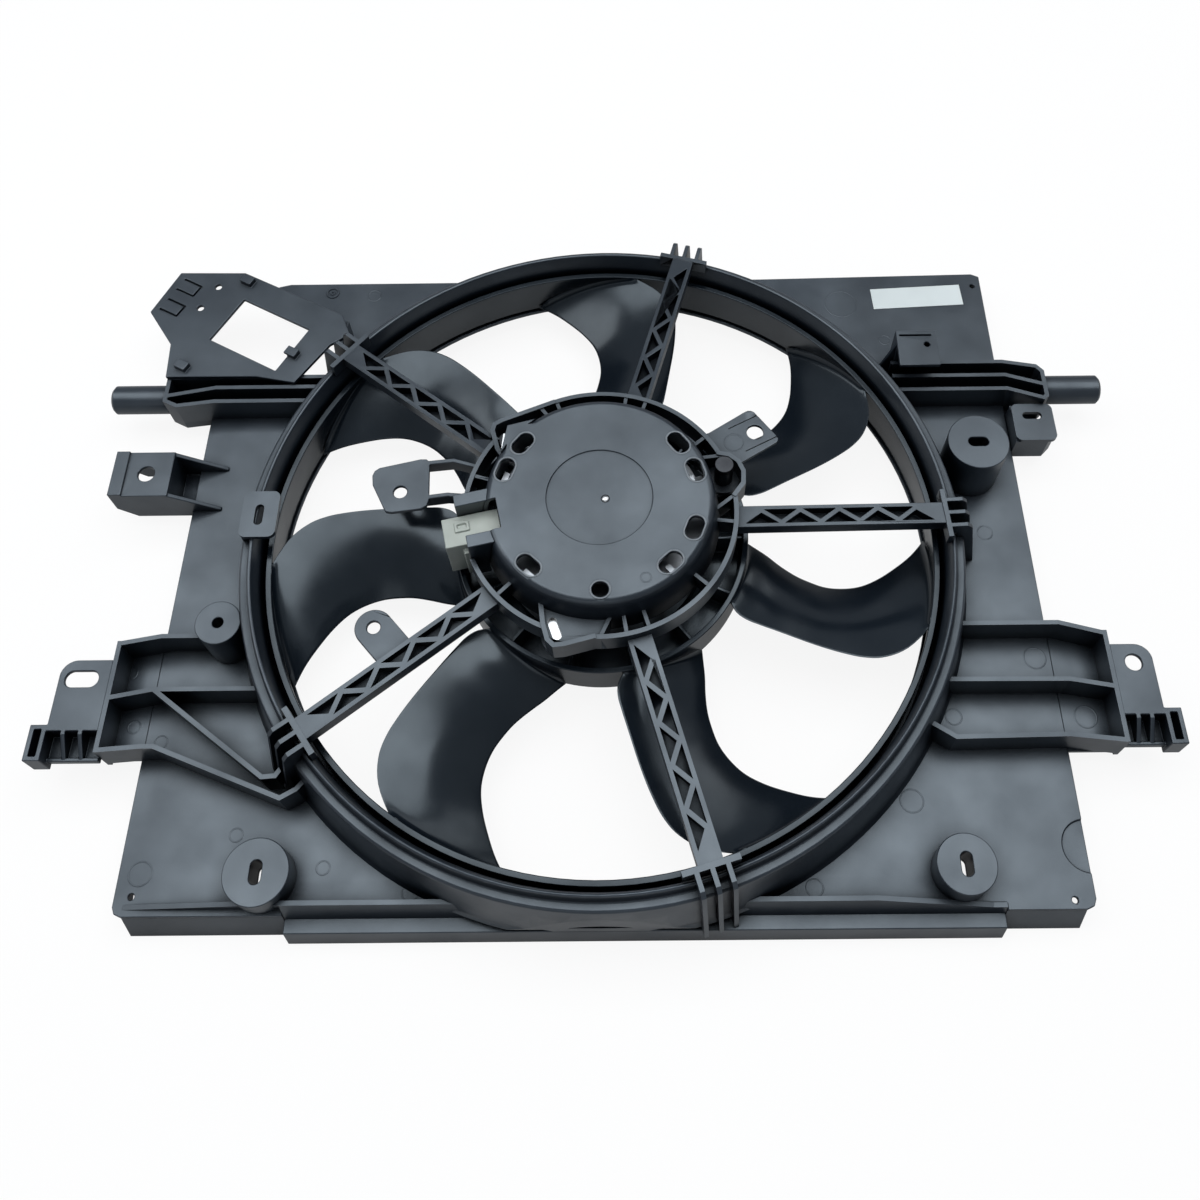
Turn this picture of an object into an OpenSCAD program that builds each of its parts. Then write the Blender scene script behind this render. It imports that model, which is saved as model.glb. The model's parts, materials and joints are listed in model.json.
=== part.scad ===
// Radiator fan: a moulded shroud that carries a banded seven-blade fan and its brushed motor.
// Millimetres. The part lies on the radiator side, with the origin on the fan axis.
// X runs to the right, Y away from the front lip, Z up towards the motor.

/* [Shroud panel] */
// From the fan ring to the left edge
side_left = 55.5; // [40:0.5:75]
// From the fan ring to the right edge
side_right = 57.5; // [40:0.5:75]
// From the fan ring to the front edge
side_front = 4.5; // [2:0.5:10]
// From the fan ring to the rear edge
side_rear = 12; // [9:0.5:20]
// Height of the skirt, from the radiator side to the top of the panel
skirt_h = 20; // [12:1:35]
// Wall thickness of the moulding
wall_t = 2.5; // [1.8:0.1:4]
// Height of the rib along the front edge
front_rib_h = 8; // [4:1:15]

/* [Fan ring] */
// Inner radius of the ring around the fan
ring_r = 194; // [190:0.5:200]
// Height of the ring's ridge above the panel
ridge_h = 38.8; // [30:0.2:50]

/* [Fan] */
// Gap between the ring and the rotating band
tip_gap = 2.7; // [1.5:0.1:6]
// Height of the rotating band
band_h = 28.5; // [20:0.5:36]
// Outer radius of the fan hub
hub_r = 83; // [70:0.5:90]
// Depth of the fan hub
hub_h = 26; // [18:0.5:32]
// Thickness of a blade in the middle
blade_t = 2.6; // [1.5:0.1:4]

/* [Stays and carrier] */
// Width of a stay
stay_w = 13; // [9:0.5:18]
// Depth of a stay
stay_d = 8; // [5:0.5:12]
// From the cover's disc to the outside of the motor carrier
carrier_side = 13.8; // [10:0.2:18]
// Height of the carrier's top edge
carrier_z = 82.5; // [75:0.5:90]
// From the motor can to the edge of the disc on the motor cover
cover_side = 4.2; // [3.6:0.2:8]
// Height of the motor cover
cover_z = 96; // [90:0.5:104]

/* [Motor] */
// Outer radius of the motor can
can_r = 58; // [50:0.5:60]
// Radius of the shaft
shaft_r = 5; // [4:0.5:7]
// Running clearance of the shaft in its bearings
shaft_clear = 0.03; // [0.01:0.01:0.1]
// Air gap between the magnets and the armature
air_gap = 1; // [0.5:0.1:2]

/* [Locating pegs] */
// Radius of the pegs at both ends of the beams
peg_r = 9; // [7:0.5:12]
// Length that a peg stands out of its beam
peg_len = 35; // [25:1:45]
// Height of the pegs' axis
peg_z = 26.5; // [24:0.5:30]
// From the fan ring to the end face of a beam
beam_past = 81; // [76:0.5:90]

/* [Hidden] */
$fn = 96;
black = [0.10, 0.11, 0.12];
steel = [0.62, 0.63, 0.65];

// Sizes that follow from the ring: the panel's edges, the beams' ends and the fan's band
panel_left = ring_r + side_left;
panel_right = ring_r + side_right;
panel_front = ring_r + side_front;
panel_rear = ring_r + side_rear;
beam_end = ring_r + beam_past;
band_r = ring_r - tip_gap;

// Sizes that follow from the motor can: cover, carrier and lugs
cover_r = can_r + cover_side;
carrier_r = cover_r + carrier_side;

// How far ring and carrier lie further out than those that the typed positions were taken on
ring_typed = 194;
carrier_typed = 76;
out = ring_r - ring_typed;
carrier_out = carrier_r - carrier_typed;

// Point p moved away from the fan's axis by d
function pushed(p, d) = p + p / norm(p) * d;
// A rib's end that meets the ring, inside outward(s)
function at_ring(p, s) = pushed(p, out) - [s * out, 0];

// Heights
panel_z = skirt_h;
sheet_z = panel_z - wall_t;
ridge_z = panel_z + ridge_h;
beam_z = panel_z + 18.5;
shelf_z = panel_z + 20;

// Section of the fan ring: the outer face first, then the inner face of the channel
ring_foot = ring_r + 17.5;
ring_hole = ring_r + 13.5;
ring_outer = [[ring_r - 5, 14], [ring_r - 5, 16.5], [ring_r, 16.5], [ring_r, 47],
    [ring_r + 0.3, 50], [ring_r + 2.2, ridge_z - 1],
    [ring_r + 2.9, ridge_z], [ring_r + 4, ridge_z], [ring_r + 4.6, ridge_z - 0.8],
    [ring_r + 5.3, 53], [ring_r + 6, 52.5], [ring_r + 9.6, 52.5], [ring_r + 10.6, 51.5],
    [ring_r + 15.4, 23], [ring_foot, panel_z], [ring_hole - 0.1, panel_z], [ring_hole - 0.1, 14]];
ring_inner = [[ring_r + 11, 14], [ring_r + 11, 21], [ring_r + 12.6, 23], [ring_r + 8.4, 50],
    [ring_r + 3.3, 50], [ring_r + 2.5, 47], [ring_r + 2.5, 14]];

// Each stay: where it leaves the carrier, where it meets the ring, and what its fins stand on
stay_ends = [[[19.5, 70], [50, 185], panel_z], [[75, -3], [191, 3.5], panel_z],
    [[20.5, -71], [54, -183], 14], [[-57, -47], [-152, -116], panel_z],
    [[-61, 42], [-153, 117], panel_z]];
stays = [for (s = stay_ends) [pushed(s[0], carrier_out), pushed(s[1], out), s[2]]];
stay_in_z = 76;
stay_out_z = 66;
stay_rail = 2.3;
fin_gap = 8;

// Bosses: position, radius, top, slot length and whether the slot runs along Y
bosses = [[[panel_right - 29.9, 56], 18, 55, 12, 0], [[38.5 - panel_left, -51.4], 12.6, 50, 6, 0],
    [[panel_right - 66.9, 19 - panel_front], 15.3, 36.6, 12, 90],
    [[75.5 - panel_left, 18.2 - panel_front], 17, 35.8, 12, 90]];
slot_w = 6;

// Middle line of the right lower bracket's outer wall. The left one lies 10 mm further in.
wall_x = panel_right + 25.5;
// Bolting flanges: where the right one starts, depth, corner radius and depth of the comb
flange_x = wall_x + wall_t / 2;
flange_d = 37;
flange_r = 9;
comb_d = 16.5;

// Blades: angle of the low edge of each one, in the order they stand round the hub
blade_angles = [39.3, 91.4, 145.4, 192.2, 243.1, 299, 350.2];
// Along a blade: radius, angle of the low edge, angle of the high edge, their two heights
blade_rows = [[81, 14, -20, 29, 48], [88, 10.5, -23, 28.5, 48.5], [95, 7.6, -23.6, 27.5, 49],
    [103, 4.4, -22.9, 26, 49], [112, 1.9, -22, 25, 49], [121, 0.6, -21.2, 24, 48.5],
    [130, 0, -20.5, 23, 48], [140, 0.4, -19.7, 22.5, 47.5], [150, 1.6, -18.8, 22, 47],
    [160, 3.8, -17.7, 21.5, 46.5], [170, 6.5, -15.9, 21, 46], [180, 9.3, -12.6, 20.5, 45.5],
    [188, 12, -8, 20.3, 45], [192, 13.5, -5, 20.3, 45]];
blade_cols = 8;
// Radii of hub and band that those rows were taken on
rows_hub = 83;
rows_band = 191.3;

// Motor lugs and their screws
lug_r = carrier_r - 3;
lug_angles = [19.5, 138, 253];
lobe_r = 9.5;
screw_r = 3;

// A point at radius r and angle a
function at(r, a) = [r * cos(a), r * sin(a)];
// The carrier's wall round each lug, as middle line, and the angles between which it stands in
// for the ring
lug_walls = [
    [at(carrier_r - 1.3, 27.2), at(carrier_r + 3.2, 24.6), at(carrier_r + 6.3, 20.6),
        at(carrier_r + 6.8, 15.8), at(carrier_r + 4.7, 10.7), at(carrier_r - 1.3, 6.1)],
    [at(carrier_r - 1.3, 112), at(carrier_r + 4.8, 134.9), at(carrier_r + 6, 138.1),
        at(carrier_r + 4, 140.8), at(carrier_r - 6, 146.6), at(cover_r, 150)],
    [at(cover_r, 240), at(carrier_r - 2.6, 246.5), at(carrier_r + 4.5, 250.6),
        at(carrier_r + 6.6, 253.5), at(carrier_r + 4.9, 256.8), at(carrier_r - 1.3, 267.8)]];
lug_gaps = [[6.1, 27.2], [112, 142], [247, 267.8]];
// Ribs between cover and carrier: angle at the cover, angle at the carrier
carrier_ribs = [[37, 37.5], [69.5, 69.8], [78.5, 78.9], [110.4, 110.4], [116, 118], [163, 163],
    [222.5, 223], [276, 270.5], [281.5, 281.2], [291.2, 290.6], [322, 321.4], [353.4, 353.3],
    [358.5, 366.1], [30.3, 26.2]];

// Holes in the motor cover: angle and length
cover_holes = [[141.8, 14], [161.6, 14], [37.4, 14], [16.8, 14], [-20.8, 14], [-46.3, 14],
    [-132.4, 14], [-89.1, 9]];

// Heights of the motor: the top of its can and the underside of its lugs
can_z = 72;
lug_z = 64.5;

// Armature and commutator
core_r = 38;
core_z = 45;
core_h = 17;
comm_r = 11.5;

// Section of the motor cover, outside and inside
cover_outer = [[cover_r - 3.7, cover_z], [cover_r - 1.5, cover_z - 0.8], [cover_r, cover_z - 2.8],
    [cover_r + 0.8, cover_z - 6], [cover_r + 3.8, 72], [cover_r + 3.8, 70]];
cover_inner = [[cover_r + 1.2, 70], [cover_r + 1.2, 72], [cover_r - 1.6, cover_z - 6.5],
    [cover_r - 2.4, cover_z - 4], [cover_r - 3.7, cover_z - 2.5], [0, cover_z - 2.5]];

// Length of the connector
conn_l = 31;

// Both ends of the front lip, and where the ring is cut off along the front and rear edges
lip_x0 = 32 - ring_r;
lip_x1 = ring_r + 12;
ring_front = ring_r + 12;
ring_rear = ring_r + 14.5;

// Moves what is outside the ring along X with the ring: s is 1 on the right, -1 on the left
module outward(s) {
    translate([s * out, 0, 0])
        children();
}

// A flat bar between two points, standing from z0 to z1
module rib(a, b, z0, z1, t = wall_t) {
    d = b - a;
    translate([a.x, a.y, z0])
        rotate([0, 0, atan2(d.y, d.x)])
            translate([-t / 2, -t / 2, 0])
                cube([norm(d) + t, t, z1 - z0]);
}

// Corner of a chain of ribs at point i, on the side s of its middle line
function along(points, i) = (points[i + 1] - points[i]) / norm(points[i + 1] - points[i]);
function mitre(points, i, s) =
    let (last = len(points) - 1)
    let (a = along(points, max(i - 1, 0)))
    let (b = along(points, min(i, last - 1)))
    let (m = (a + b) / norm(a + b))
    let (reach = i == 0 ? -abs(s) : i == last ? abs(s) : 0)
    points[i] + a * reach + [-m.y, m.x] * s / (m * a);

// A chain of ribs through a list of points
module ribs(points, z0, z1, t = wall_t) {
    last = len(points) - 1;
    translate([0, 0, z0])
        linear_extrude(z1 - z0)
            polygon(concat([for (i = [0 : last]) mitre(points, i, t / 2)],
                [for (i = [last : -1 : 0]) mitre(points, i, -t / 2)]));
}

// A slot with round ends, centred, running along X
module slot(length, width, h) {
    straight = length - width;
    for (s = [-1, 1])
        translate([s * straight / 2, 0, 0])
            cylinder(d = width, h = h);
    if (straight > 0)
        translate([-straight / 2, -width / 2, 0])
            cube([straight, width, h]);
}

// A flat plate with four rounded corners, from its low corner
module round_plate(size, r, h) {
    translate([r, 0, 0])
        cube([size.x - 2 * r, size.y, h]);
    translate([0, r, 0])
        cube([size.x, size.y - 2 * r, h]);
    for (x = [r, size.x - r])
        for (y = [r, size.y - r])
            translate([x, y, 0])
                cylinder(r = r, h = h);
}

// The space that the fan ring fills, with its channel closed
module ring_space() {
    rotate_extrude($fn = 180)
        polygon(ring_outer);
}

module boss_slot(b) {
    translate([b[0].x, b[0].y, sheet_z - 1])
        rotate([0, 0, b[4]])
            slot(b[3], slot_w, 60);
}

// The panel's outline, with its cut corner under the relay plate
module panel_outline() {
    polygon([[-panel_left, -panel_front + 5], [-panel_left + 1.5, -panel_front + 1.5],
        [-panel_left + 5, -panel_front], [panel_right - 5, -panel_front],
        [panel_right - 1.5, -panel_front + 1.5], [panel_right, -panel_front + 5],
        [panel_right, panel_rear], [panel_right - 5, panel_rear + 2.3],
        [104, panel_rear], [35.5 - panel_left, panel_rear], [27.5 - panel_left, panel_rear - 2],
        [27.5 - panel_left, panel_rear - 10], [81.5 - panel_left, panel_rear - 39], [74.5 - panel_left, 126],
        [-panel_left, 126]]);
}

module panel_sheet() {
    difference() {
        translate([0, 0, sheet_z])
            linear_extrude(wall_t)
                panel_outline();
        translate([0, 0, sheet_z - 1])
            cylinder(r = ring_hole, h = wall_t + 2, $fn = 180);
        for (b = bosses)
            boss_slot(b);
        for (p = [[8.9 - panel_left, 9.9 - panel_front], [panel_right - 10.9, 4.5 - panel_front],
                [panel_right - 5.5, panel_rear - 8]])
            translate([p.x, p.y, sheet_z - 1])
                cylinder(r = 1.6, h = wall_t + 2, $fn = 24);
        translate([lip_x0, -panel_front - 1, sheet_z - 1])
            cube([lip_x1 - lip_x0, 4.6, wall_t + 2]);
        translate([panel_right + 1, 31 - panel_front, panel_z - 1])
            cylinder(r = 13.5, h = 2);
    }
}

module panel_left_half() {
    color(black)
        intersection() {
            panel_sheet();
            translate([-300, -300, 0])
                cube([300, 600, 40]);
        }
}

module panel_right_half() {
    color(black)
        intersection() {
            panel_sheet();
            translate([0, -300, 0])
                cube([300, 600, 40]);
        }
}

module skirt_left() {
    x = wall_t / 2 - panel_left;
    color(black)
        ribs([[x, 6 - panel_front], [x, 124.7], [73.5 - panel_left, 124.7],
            [80.2 - panel_left, panel_rear - 39.8], [28.8 - panel_left, panel_rear - 11],
            [28.8 - panel_left, panel_rear - 3]], 0, sheet_z);
}

module skirt_right() {
    x = panel_right - wall_t / 2;
    color(black)
        ribs([[x, 6 - panel_front], [x, panel_rear - 5.3]], 0, sheet_z);
}

module skirt_rear() {
    y = panel_rear - wall_t / 2;
    color(black)
        difference() {
            ribs([[33.5 - panel_left, y], [104, y], [panel_right - 6.5, y + 2], [panel_right - 1.3, y - 1]],
                0, sheet_z);
            ring_space();
        }
}

// A profile in Y and Z that runs along X
module along_x(points, x0, x1) {
    translate([x0, 0, 0])
        rotate([90, 0, 90])
            linear_extrude(x1 - x0)
                polygon(points);
}

// A profile in X and Z with a thickness along Y
module along_y(points, y0, y1) {
    translate([0, y1, 0])
        rotate([90, 0, 0])
            linear_extrude(y1 - y0)
                polygon(points);
}

module front_wall() {
    f = -panel_front;
    top = panel_z + front_rib_h;
    plain = [[f, sheet_z], [f - 5.5, 0], [f - 3, 0], [f + 2.5, sheet_z]];
    color(black)
        difference() {
            union() {
                along_x(plain, 5 - panel_left, lip_x0);
                along_x(plain, lip_x1, panel_right - 5);
                along_x([[f - 0.5, 14], [f + 1.1, panel_z], [f + 3.5, top], [f + 6, top],
                    [f + 3.6, panel_z], [f + 2.1, 14]], lip_x0, lip_x1);
                along_y([[5.5 - panel_left, panel_z], [lip_x0, panel_z], [lip_x0, top], [lip_x0 - 14, top]],
                    f + 3.5, f + 6);
            }
            along_y([[lip_x1 - 66, top + 1], [lip_x1 - 66, top], [lip_x1 - 7, panel_z + 0.4],
                [lip_x1 + 1, panel_z + 0.4],
                [lip_x1 + 1, top + 1]], f - 2, f + 8);
            ring_space();
            cylinder(r = ring_r + 1, h = 60, $fn = 180);
            stay_foot(2);
            for (b = [bosses[2], bosses[3]])
                translate([b[0].x, b[0].y, panel_z])
                    cylinder(r = b[1], h = b[2] - panel_z);
        }
}

module front_lip() {
    f = -panel_front;
    color(black) {
        along_x([[f - 7.5, 14], [f - 10, 0], [f - 7.5, 0], [f - 5.1, 11.5], [f + 2.1, 11.5],
            [f + 2.1, 14]], lip_x0, lip_x1);
        for (x = [lip_x0, lip_x1 - wall_t])
            along_x([[f - 5.1, 11.5], [f - 7.5, 0], [f - 2.9, 0], [f + 0.7, 11.5]],
                x, x + wall_t);
    }
}

module fan_ring() {
    color(black)
        difference() {
            rotate_extrude($fn = 180)
                polygon(concat(ring_outer, ring_inner));
            translate([-100, -ring_front - 40, 0])
                cube([200, 40, 60]);
            translate([-100, ring_rear, 0])
                cube([200, 40, 60]);
        }
}

module ring_ear() {
    color(black)
        difference() {
            outward(-1) {
                translate([-204.5, -5, ridge_z])
                    round_plate([20.5, 29], 4, 2.8);
                for (y = [-3, 19.5])
                    translate([-204, y, 46])
                        cube([8, wall_t, ridge_z + 1 - 46]);
                translate([-204, -3, 46])
                    cube([wall_t, 24, ridge_z + 1 - 46]);
            }
            outward(-1)
                translate([-194.5, 9, ridge_z - 1])
                    rotate([0, 0, 90])
                        slot(13, 5, 5);
            ring_space();
        }
}

// Side view of a stay's fins, outwards from the end of its bar
function fin_profile(z0) = [[1, 57.5], [1, stay_out_z], [13, stay_out_z], [16, 63], [25, z0],
    [13, z0], [10, 50], [8, 57.5]];

// The space that the fins of a stay take up
module stay_foot(k) {
    d = stays[k][1] - stays[k][0];
    translate([stays[k][1].x, stays[k][1].y, 0])
        rotate([0, 0, atan2(d.y, d.x)])
            along_y(fin_profile(stays[k][2]), -fin_gap - 1.2, fin_gap + 1.2);
}

// A stay: a channel with a zigzag of webs, an end bar over the ring and three fins down to z0
module stay(k) {
    a = stays[k][0];
    b = stays[k][1];
    z0 = stays[k][2];
    d = b - a;
    len = norm(d);
    turn = atan2(d.y, d.x);
    cells = 9;
    pitch = (len - 6) / (cells + 1);
    h = stay_w / 2 - stay_rail;
    color(black)
        difference() {
            union() {
                translate([a.x, a.y, stay_in_z])
                    rotate([0, 0, turn])
                        rotate([0, atan((stay_in_z - stay_out_z) / len), 0])
                            difference() {
                                translate([0, -stay_w / 2, -stay_d])
                                    cube([len + 3, stay_w, stay_d]);
                                for (i = [1 : cells]) {
                                    s = i % 2 == 0 ? 1 : -1;
                                    x = 3 + i * pitch;
                                    translate([0, 0, 2 - stay_d])
                                        linear_extrude(stay_d)
                                            polygon([[x - pitch + 1.8, s * h],
                                                [x + pitch - 1.8, s * h], [x, 2 * s - s * h]]);
                                }
                            }
                translate([b.x, b.y, 0])
                    rotate([0, 0, turn]) {
                        translate([1, -15, 57])
                            cube([3, 30, stay_out_z - 57]);
                        for (y = [-fin_gap, 0, fin_gap])
                            along_y(fin_profile(z0), y - 1.2, y + 1.2);
                    }
            }
            carrier_space();
            ring_space();
        }
}

// The space that the carrier ring and its lobes take up
module carrier_space() {
    translate([0, 0, 50])
        cylinder(r = carrier_r, h = 60);
    lug_place()
        translate([0, 0, 60])
            cylinder(r = lobe_r, h = 40);
    for (w = lug_walls) {
        ribs(w, 60, 100);
        translate([0, 0, 60])
            linear_extrude(40)
                polygon(concat([[0, 0]], w));
    }
}

module stay_top() { stay(0); }
module stay_right() { stay(1); }
module stay_bottom() { stay(2); }
module stay_lower_left() { stay(3); }
module stay_upper_left() { stay(4); }

// The space that the motor cover fills
module cover_space() {
    rotate_extrude($fn = 120)
        polygon(concat([[0, 70], [0, cover_z]], cover_outer));
}

// The frame of the connector: its long axis is X, its mating face looks to -X
module at_connector() {
    translate([-cover_r - 7.4, -12.6, 0])
        rotate([0, 0, 12.8])
            children();
}

module lug_place() {
    for (a = lug_angles)
        rotate([0, 0, a])
            translate([lug_r, 0, 0])
                children();
}

module motor_carrier() {
    bottom = lug_z + 3;
    step = 0.5;
    color(black)
        difference() {
            union() {
                difference() {
                    translate([0, 0, bottom + step])
                        cylinder(r = carrier_r, h = carrier_z - bottom - 2 * step, $fn = 120);
                    translate([0, 0, bottom - 1])
                        cylinder(r = carrier_r - wall_t, h = 30, $fn = 120);
                    for (g = lug_gaps)
                        translate([0, 0, bottom - 1])
                            linear_extrude(30)
                                polygon([[0, 0], at(120, g[0]), at(120, g[1])]);
                }
                for (w = lug_walls)
                    ribs(w, bottom, carrier_z);
                for (r = carrier_ribs)
                    rib(at(cover_r, r[0]), at(carrier_r - 1.3, r[1]), bottom + 2, carrier_z - 1, 2);
                lug_place()
                    translate([0, 0, bottom])
                        cylinder(r = lobe_r, h = 3);
                rotate([0, 0, lug_angles[0]])
                    translate([lug_r, 0, bottom])
                        cylinder(r = 5.2, h = carrier_z - bottom);
                translate([0, 0, carrier_z - 5])
                    linear_extrude(wall_t)
                        polygon(concat(lug_walls[2], [at(carrier_r - 1.6, 270.5), at(cover_r, 276)]));
            }
            for (i = [0 : 2])
                rotate([0, 0, lug_angles[i]])
                    translate([lug_r, 0, bottom - 1])
                        cylinder(r = screw_r + 0.3, h = i == 0 ? 30 : 5);
            translate([0.3 * carrier_out - 23.2, -carrier_out - 69.3, carrier_z - 6])
                rotate([0, 0, -70])
                    slot(13, 5, 10);
            cover_space();
            at_connector()
                translate([-30, -17, 50])
                    cube([60, 34, 50]);
        }
}

module motor_cover() {
    color(black)
        difference() {
            union() {
                rotate_extrude($fn = 120)
                    polygon(concat([[0, cover_z]], cover_outer, cover_inner));
                for (q = [[0.5, 12], [4, 2.3]])
                    translate([0, 0, cover_z - q[1]])
                        linear_extrude(q[1] - 0.3)
                            polygon(concat([at(cover_r + 7, 138.7)],
                                [for (a = [152.5 : -6.625 : 126]) at(cover_r - q[0], a)]));
            }
            translate([0, 0, cover_z - 0.7])
                cylinder(r = 28.9, h = 2);
            translate([3.2, -1.2, cover_z - 5])
                cylinder(r = 2.2, h = 8, $fn = 32);
            for (c = cover_holes)
                rotate([0, 0, c[0]])
                    translate([cover_r - 7.7, 0, cover_z - 6])
                        rotate([0, 0, 90])
                            slot(c[1], min(c[1], 8.6), 8);
            at_connector()
                translate([-30, -9.1, 50])
                    cube([30 + conn_l / 2 + 0.3, 18.2, 60]);
        }
}

module connector_hood() {
    color(black)
        difference() {
            at_connector()
                for (s = [-1, 1])
                    translate([s > 0 ? -6.5 : -3.5, s > 0 ? 9.1 : -16.5, 61])
                        cube([40, 7.4, cover_z - 62]);
            cover_space();
            translate([0, 0, 50])
                cylinder(r = cover_r + 3.8, h = 22);
            translate([0, 0, 50])
                cylinder(r = cover_r - 2, h = 60);
        }
}

module connector_housing() {
    color([0.72, 0.73, 0.68])
        difference() {
            at_connector() {
                difference() {
                    translate([-conn_l / 2, -8.8, 55])
                        cube([conn_l, 17.6, 29]);
                    translate([-conn_l / 2 - 1, -6.6, 58])
                        cube([20, 13.2, 22.5]);
                }
                translate([-conn_l / 2, -8.8, 55])
                    translate([9, -3, 0])
                        cube([3, 3, 24]);
                difference() {
                    translate([-9, -1, 84])
                        cube([8, 6, 1.2]);
                    translate([-7.5, 0.8, 83.9])
                        cube([5, 2.6, 2]);
                }
            }
            translate([0, 0, 50])
                cylinder(r = can_r + 0.3, h = can_z + 2 - 50);
        }
}

module connector_pins() {
    color([0.75, 0.6, 0.3])
        at_connector()
            for (y = [-3.4, 3.4])
                translate([-conn_l / 2 + 5, y - 0.8, 66])
                    cube([14, 1.6, 6]);
}

module tab_left() {
    color(black)
        difference() {
            translate([-carrier_out, 0, 0]) {
                translate([0, 0, 72.5])
                    linear_extrude(wall_t)
                        polygon([[-128.6, 20], [-129.4, 26], [-128.4, 29], [-125.8, 31],
                            [-103, 36.4], [-99.4, 36.4], [-97.6, 34], [-96.1, 10], [-97, 6.6],
                            [-100, 4.6], [-116.5, 2.4], [-119.6, 3], [-121.4, 6]]);
                ribs([[-98.5, 34], [-84, 35.5], [-66, 30]], 66, 75);
                ribs([[-97.5, 12], [-86, 13.5], [-70, 12]], 66, 75);
            }
            translate([-112.6 - carrier_out, 15.3, 60])
                cylinder(r = 3.8, h = 20);
            carrier_space();
        }
}

module tab_right() {
    color(black)
        difference() {
            translate([0.86 * carrier_out, 0.5 * carrier_out, 72.5])
                linear_extrude(wall_t)
                    polygon([[56, 50], [61.2, 51.6], [82.6, 65.6], [84.6, 66.6], [86.6, 66.6],
                        [88.4, 65.7], [100.4, 49.6], [101.3, 47.8], [101.2, 46.2], [100, 44.9],
                        [79.7, 32.1], [68, 31]]);
            translate([88.2 + 0.86 * carrier_out, 52 + 0.5 * carrier_out, 60])
                cylinder(r = 4.8, h = 20);
            carrier_space();
        }
}

module tab_lower() {
    color(black)
        difference() {
            translate([-121, -62, 64])
                rotate([0, 0, -48]) {
                    cylinder(r = 10.2, h = wall_t);
                    translate([0, -10.2, 0])
                        cube([26, 20.4, wall_t]);
                }
            translate([-121, -62, 60])
                cylinder(r = 3.6, h = 20);
            stay_bar(3);
        }
}

// The outer box of a stay, to trim what meets it
module stay_bar(k) {
    a = stays[k][0];
    d = stays[k][1] - a;
    translate([a.x, a.y, stay_in_z])
        rotate([0, 0, atan2(d.y, d.x)])
            rotate([0, atan((stay_in_z - stay_out_z) / norm(d)), 0])
                translate([0, -stay_w / 2, -30])
                    cube([norm(d) + 3, 60, 60]);
}

module peg(x, s) {
    translate([x, 109.8, peg_z])
        rotate([0, s * 90, 0]) {
            cylinder(r = peg_r, h = peg_len - 1.5);
            translate([0, 0, peg_len - 1.5])
                cylinder(r1 = peg_r, r2 = peg_r - 1.5, h = 1.5);
        }
}

module beam_left() {
    end = beam_end - out;
    edge = panel_left - out;
    color(black)
        difference() {
            outward(-1) {
                translate([0, 0, panel_z])
                    linear_extrude(beam_z - panel_z)
                        polygon([[-end, 101], [-266, 96.5], [-243, 99.4], [-170, 99.4],
                            [-170, 119.7], [-end, 119.7]]);
                translate([0, 0, 14])
                    linear_extrude(6.1)
                        polygon([[-end, 101], [-266, 96.5], [-edge, 98.6],
                            [-edge, 119.7], [-end, 119.7]]);
            }
            translate([-out, 0, panel_z + 2.5])
                linear_extrude(30)
                    polygon([[wall_t - end, 102.3], [-265.6, 99.1], [-243, 102],
                        [-160, 102], [-160, 109.6], [-243, 109.6], [wall_t - end, 104]]);
            translate([-out, 0, panel_z + 2.5])
                linear_extrude(30)
                    polygon([[wall_t - end, 106.6], [-243, 112.2], [-160, 112.2],
                        [-160, 117.2], [wall_t - end, 117.2]]);
            ring_space();
            stay_foot(4);
        }
    color(black)
        peg(-beam_end, -1);
}

module beam_right() {
    end = beam_end - out;
    edge = panel_right - out;
    color(black)
        difference() {
            outward(1) {
                translate([0, 0, panel_z])
                    linear_extrude(beam_z - panel_z)
                        polygon([[180, 102.7], [250, 102.7], [272, 95.3], [end, 98],
                            [end, 117], [271, 121.5], [250, 125.3], [180, 125.3]]);
                translate([0, 0, 14])
                    linear_extrude(6.1)
                        polygon([[edge, 102.2], [272, 95.3], [end, 98],
                            [end, 117], [271, 121.5], [edge, 125]]);
            }
            translate([out, 0, panel_z + 2.5])
                linear_extrude(30)
                    polygon([[170, 105.2], [250.4, 105.2], [271.5, 98.2],
                        [end - wall_t, 99.2], [end - wall_t, 105.8], [250, 112.8],
                        [170, 112.8]]);
            translate([out, 0, panel_z + 2.5])
                linear_extrude(30)
                    polygon([[170, 115.3], [250.4, 115.3], [end - wall_t, 108.4],
                        [end - wall_t, 115.8], [270, 119.1], [249.8, 122.8],
                        [170, 122.8]]);
            ring_space();
        }
    color(black)
        peg(beam_end, 1);
}

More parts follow.
